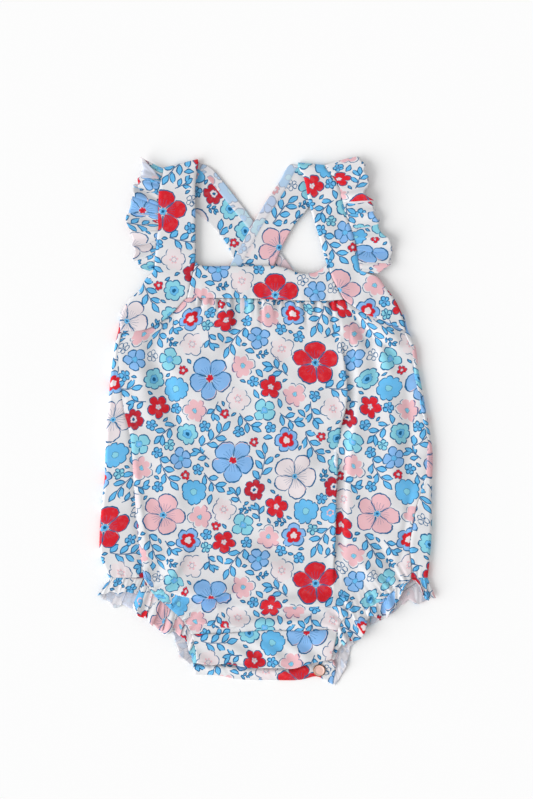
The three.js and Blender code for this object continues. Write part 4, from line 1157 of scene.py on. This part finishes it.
def draw_sprigs(tree, colour, shake):
    """Leaves on a slightly bent stem, laid along x, with a leaf at its end."""
    x, y, half = three(tree, "sprig_at")
    leaf, pitch, sides = three(tree, "sprig_form")
    x = x + shake[0]
    y = y + shake[1] - (x * x / half * 0.13 - half * 0.05)

    def lens(along, across):
        ends = along / (leaf / 2)
        return (leaf * 0.24) * (ends * ends).flipped() - abs(across)

    step = y.made("GREATER_THAN", 0.0) * 0.5
    cell = x / pitch + step
    place = (cell - cell.made("ROUND")) * pitch
    middle = x - place
    out = abs(y) - leaf * 0.42
    slant = place - leaf * 0.12
    side_leaf = lens((slant + out) * 0.7071, (out - slant) * 0.7071)
    kept = (middle + half * 0.86).inside(0.1) * ((half * 0.5) - middle).inside(0.1) * sides
    side_leaf = side_leaf * kept + (kept.flipped() * -9)
    end_leaf = lens(x - (half - leaf * 0.5), y)
    within = side_leaf.made("MAXIMUM", end_leaf)
    stem_end = half * (sides * 1.3 - 0.55)
    stem = y.stroke(0.75) * (half - abs(x)).inside() * (stem_end - x).inside() * sides
    rib = (out - slant).stroke(0.3) * side_leaf.inside() + y.stroke(0.3) * end_leaf.inside()
    navy = linear(INKS["navy"])
    colour = mixed(tree, stem, colour, navy)
    colour = mixed(tree, within.inside(), colour, linear(INKS["sky"]))
    colour = mixed(tree, rib * 0.35, colour, navy)
    return mixed(tree, (within - 0.15).stroke(0.88), colour, navy)


def draw_blooms(tree, colour, shake, tone):
    """Flowers in polar form: petals, veins, heart, eye, dots and an outline."""
    x, y, size = three(tree, "bloom_at")
    petals, swell, power = three(tree, "bloom_form")
    heart, lines, veins = three(tree, "bloom_core")
    rim, dots, offset = three(tree, "bloom_edge")
    petal_ink, heart_ink, eye_ink = three(tree, "bloom_inks")

    def polar(across, up):
        reach = (across * across + up * up).made("SQRT")
        turn = up.made("ARCTAN2", across)
        turn = turn + (turn * 2 + size * 7).made("SINE") * 0.12
        lobe = abs((turn * petals / 2).made("COSINE"))
        edge = size * (swell * lobe**power - swell.made("MAXIMUM", 0.0) + 1)
        edge = edge * ((turn * 3 + size * 5).made("SINE") * 0.05 + 0.96)
        return reach, turn, lobe, edge

    across = x + shake[0] * 1.4
    up = y + shake[1] * 1.4
    reach, turn, lobe, edge = polar(across, up)
    fill_reach, _, _, fill_edge = polar(across + offset * 0.8, up - offset * 0.5)
    fill = (fill_edge - offset * 0.5 - fill_reach).inside()
    shown = (edge - reach).inside()
    navy = linear(INKS["navy"])
    colour = mixed(tree, shown * veins * 0.7, colour, linear(INKS["pink"]))
    petal = mixed(tree, tone, ink(tree, petal_ink), linear(INKS["ground"]))
    colour = mixed(tree, fill, colour, petal)
    throat = ((size * 0.42 - reach) * 0.2 - reach * lobe / petals * 2).inside() * veins
    colour = mixed(tree, throat * 0.85, colour, linear(INKS["ground"]))
    near_heart = (reach - size * heart * 1.15).inside() * (size * 0.52 - reach).inside()
    fine = reach * abs((turn * petals * 2.5).made("SINE")) / (petals * 2.5)
    colour = mixed(tree, fine.stroke(0.3) * near_heart * veins * 0.6, colour, navy)
    gap_line = (reach * lobe / petals * 2).stroke(0.8) * (reach - size * heart).inside() * shown
    colour = mixed(tree, gap_line * lines, colour, navy)
    heart_gap = edge * heart - reach
    colour = mixed(tree, heart_gap.inside() * fill, colour, ink(tree, heart_ink))
    colour = mixed(tree, heart_gap.stroke(0.5) * fill * 0.6, colour, navy)
    eye = (edge * heart * 0.45 - reach).inside()
    colour = mixed(tree, eye * fill * heart.made("GREATER_THAN", 0.05), colour, ink(tree, eye_ink))
    dot_side = reach * abs((turn * 3).made("SINE")) / 3
    dot_reach = reach - size * 0.28
    dot = ((dot_side * dot_side + dot_reach * dot_reach).made("SQRT") * -1 + 0.75).inside()
    colour = mixed(tree, dot * dots, colour, linear(INKS["pink"]))
    broken = ((turn * 2 + size).made("SINE") + 0.45).inside(0.3) * offset.made("GREATER_THAN", 0.1)
    kept = broken.made("MAXIMUM", offset.made("LESS_THAN", 0.1)).made("MAXIMUM", veins)
    outline = (edge - rim * 0.3 - reach).stroke(rim) * rim.made("GREATER_THAN", 0.05) * kept
    return mixed(tree, outline, colour, navy)


def shader_material(name, roughness):
    material = bpy.data.materials.new(name)
    material.use_nodes = True
    shader = material.node_tree.nodes["Principled BSDF"]
    shader.inputs["Roughness"].default_value = roughness
    return material, material.node_tree, shader


def cloth_material(name, ground, faded):
    """Printed cotton. The wrong side shows the print only faintly, as far as it is faded."""
    material, tree, shader = shader_material(name, 0.92)
    shader.inputs["Specular IOR Level"].default_value = 0.15
    shader.inputs["Sheen Weight"].default_value = 0.08
    shader.inputs["Sheen Roughness"].default_value = 0.6
    source = tree.nodes.new("ShaderNodeAttribute")
    source.attribute_name = "cloth"
    places = source.outputs["Vector"]
    _, channels = noise(tree, places, 0.28)
    shake = [(channel - 0.5) * 1.5 for channel in channels]
    grain, _ = noise(tree, places, 1.9, 3.0)
    tone, _ = noise(tree, places, 0.22)
    slub, _ = noise(tree, places, 1.3)
    slubs = (slub - 0.35).made("MAXIMUM", 0.0) * 0.35
    colour = mixed(tree, slubs, linear(INKS["ground"]), linear(SLUB))
    colour = draw_sprigs(tree, colour, shake)
    colour = draw_blooms(tree, colour, shake, (tone - 0.5).made("MAXIMUM", 0.0) * 0.25)
    share = (grain - 0.5).made("MAXIMUM", 0.0) * 0.25 + faded
    colour = mixed(tree, share, colour, linear(ground))
    tree.links.new(colour, shader.inputs["Base Color"])
    knit, _ = noise(tree, places, 2.6, 4.0)
    bump = tree.nodes.new("ShaderNodeBump")
    bump.inputs["Strength"].default_value = 0.35
    bump.inputs["Distance"].default_value = 0.12 * MM
    tree.links.new(knit.socket, bump.inputs["Height"])
    tree.links.new(bump.outputs[0], shader.inputs["Normal"])
    return material


def floor_material():
    material, _, shader = shader_material("white_surface", 0.9)
    shader.inputs["Base Color"].default_value = (0.965, 0.965, 0.965, 1)
    shader.inputs["Specular IOR Level"].default_value = 0.0
    return material


def enamel_material():
    material, tree, shader = shader_material("snap_enamel", 0.32)
    places = tree.nodes.new("ShaderNodeTexCoord")
    worn = tree.nodes.new("ShaderNodeTexNoise")
    worn.inputs["Scale"].default_value = 900
    tree.links.new(places.outputs["Object"], worn.inputs["Vector"])
    tint = mixed(tree, Value(tree, worn.outputs[0]), linear("#e9b7a8"), linear("#f2cfc4"))
    tree.links.new(tint, shader.inputs["Base Color"])
    return material


def bronze_material():
    material, _, shader = shader_material("snap_bronze", 0.38)
    shader.inputs["Base Color"].default_value = linear("#9a7458")
    shader.inputs["Metallic"].default_value = 0.85
    return material


# Putting it together

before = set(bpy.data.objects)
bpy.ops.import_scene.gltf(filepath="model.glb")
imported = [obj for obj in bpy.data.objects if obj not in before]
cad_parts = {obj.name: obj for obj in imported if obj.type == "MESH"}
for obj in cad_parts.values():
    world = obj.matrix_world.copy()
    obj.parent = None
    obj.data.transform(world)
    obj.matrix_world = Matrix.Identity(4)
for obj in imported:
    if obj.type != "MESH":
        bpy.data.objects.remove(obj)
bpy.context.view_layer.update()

PRINTED = cloth_material("printed_cotton", INKS["ground"], 0.0)
WRONG_SIDE = cloth_material("cotton_wrong_side", WRONG_GROUND, 0.76)
STRAP_INSIDE = cloth_material("cotton_strap_inside", WRONG_GROUND, 0.5)
ENAMEL = enamel_material()
BRONZE = bronze_material()


def add_piece(name, mesh, node, materials):
    piece = bpy.data.objects.new(name, mesh)
    for material in materials:
        mesh.materials.append(material)
    bpy.context.scene.collection.objects.link(piece)
    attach(piece, "root")
    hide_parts(node)
    return piece


def sew(node, cloth, pale=None, inside=WRONG_SIDE):
    """Makes a cloth piece from its grid and its places on the cloth."""
    grid, places = cloth
    if pale is None:
        pale = np.ones((grid.shape[0] - 1, grid.shape[1] - 1), int)
    thickness = SINGLE if node.endswith(("ruffle", "front", "back")) else CLOTH
    mesh = shell(node + "_cloth", grid, cut_from(places, CUTS[node]), pale, thickness)
    piece = add_piece(node + "_cloth", mesh, node, [PRINTED, inside])
    return piece


def strap_pale(grid, sign):
    """Which faces of a strap's inner side show the wrong side: a strip along the inner edge of its back part."""
    rows, columns = grid.shape[0] - 1, grid.shape[1] - 1
    pale = np.zeros((rows, columns), int)
    strip = int(columns * STRIP_SHARE)
    if sign > 0:
        pale[rows - BACK_ROWS :, columns - strip :] = 1
    else:
        pale[rows - BACK_ROWS :, :strip] = 1
    return pale


def snap(node):
    """A ring snap: a rounded ring round a dished cap, turned from its profile."""
    low, high = (Vector(corner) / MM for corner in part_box(node))
    middle = (low + high) / 2
    radius = (high.x - low.x) / 2
    rise = high.z - low.z
    profile = [
        (0, 0), (radius - 0.2, 0), (radius, 0.25), (radius, rise - 0.55), (radius - 0.25, rise - 0.15),
        (radius - 0.7, rise), (radius - 1.15, rise - 0.15), (radius - 1.45, rise - 0.5),
        (radius - 2.2, rise - 0.4), (0, rise - 0.3),
    ]
    sides = 48
    ring = profile[1:-1]
    angles = np.arange(sides) * 2 * np.pi / sides
    verts = [
        (middle.x + r * np.cos(a), middle.y + r * np.sin(a), low.z + z) for r, z in ring for a in angles
    ]
    faces = [
        (k * sides + a, k * sides + (a + 1) % sides, (k + 1) * sides + (a + 1) % sides, (k + 1) * sides + a)
        for k in range(len(ring) - 1)
        for a in range(sides)
    ]
    verts += [(middle.x, middle.y, low.z), (middle.x, middle.y, low.z + profile[-1][1])]
    last = (len(ring) - 1) * sides
    faces += [(len(verts) - 2, (a + 1) % sides, a) for a in range(sides)]
    faces += [(len(verts) - 1, last + a, last + (a + 1) % sides) for a in range(sides)]
    mesh = bpy.data.meshes.new(node + "_cap")
    mesh.from_pydata((np.array(verts) * MM).tolist(), [], faces)
    mesh.polygons.foreach_set("use_smooth", np.ones(len(faces), bool))
    bare = np.arange(len(faces)) < 4 * sides
    mesh.polygons.foreach_set("material_index", bare.astype(np.int32))
    add_piece(node + "_cap", mesh, node, [ENAMEL, BRONZE])


sew("back_panel", back_panel())
both_printed = np.zeros((13, 75), int)
sew("back_placket", back_placket(), both_printed)
for side, sign in (("left", -1), ("right", 1)):
    cloth = strap(side, sign)
    pale = strap_pale(cloth[0], sign)
    sew(side + "_strap", cloth, pale, STRAP_INSIDE)
    sew(side + "_strap_ruffle", strap_ruffle(side, sign))
    sew(side + "_leg_frill_front", leg_frill_front(side, sign))
    sew(side + "_leg_frill_back", leg_frill_back(side, sign))
sew("front_panel", front_panel())
sew("front_band", front_band())
sew("front_placket", front_placket())
for node in ("snap_left", "snap_middle", "snap_right"):
    snap(node)

# Surface, light and camera
floor_mesh = bpy.data.meshes.new("surface")
floor_mesh.from_pydata([(-3, -3, 0), (3, -3, 0), (3, 3, 0), (-3, 3, 0)], [], [(0, 1, 2, 3)])
floor = bpy.data.objects.new("surface", floor_mesh)
floor_mesh.materials.append(floor_material())
bpy.context.scene.collection.objects.link(floor)

scene = bpy.context.scene
scene.world = bpy.data.worlds.new("studio")
scene.world.use_nodes = True
background = scene.world.node_tree.nodes["Background"]
background.inputs["Color"].default_value = (1, 1, 1, 1)
background.inputs["Strength"].default_value = 0.58
lamp = bpy.data.objects.new("key_light", bpy.data.lights.new("key_light", "SUN"))
lamp.data.energy = 3.7
lamp.data.angle = 1.15
lamp.rotation_euler = Vector((-1.0, -0.32, 0.4)).to_track_quat("Z", "Y").to_euler()
scene.collection.objects.link(lamp)

# Seen from straight above: the photo's 799 rows cover 619 mm, and its middle is 17 mm above the origin
camera = bpy.data.objects.new("camera", bpy.data.cameras.new("camera"))
camera.data.lens = 100
camera.data.sensor_width = 36
camera.location = (0, 17.05 * MM, 1.7247)
camera.rotation_euler = (0, 0, 0)
camera.data.clip_end = 10
scene.collection.objects.link(camera)
scene.camera = camera
scene.view_settings.view_transform = "Standard"
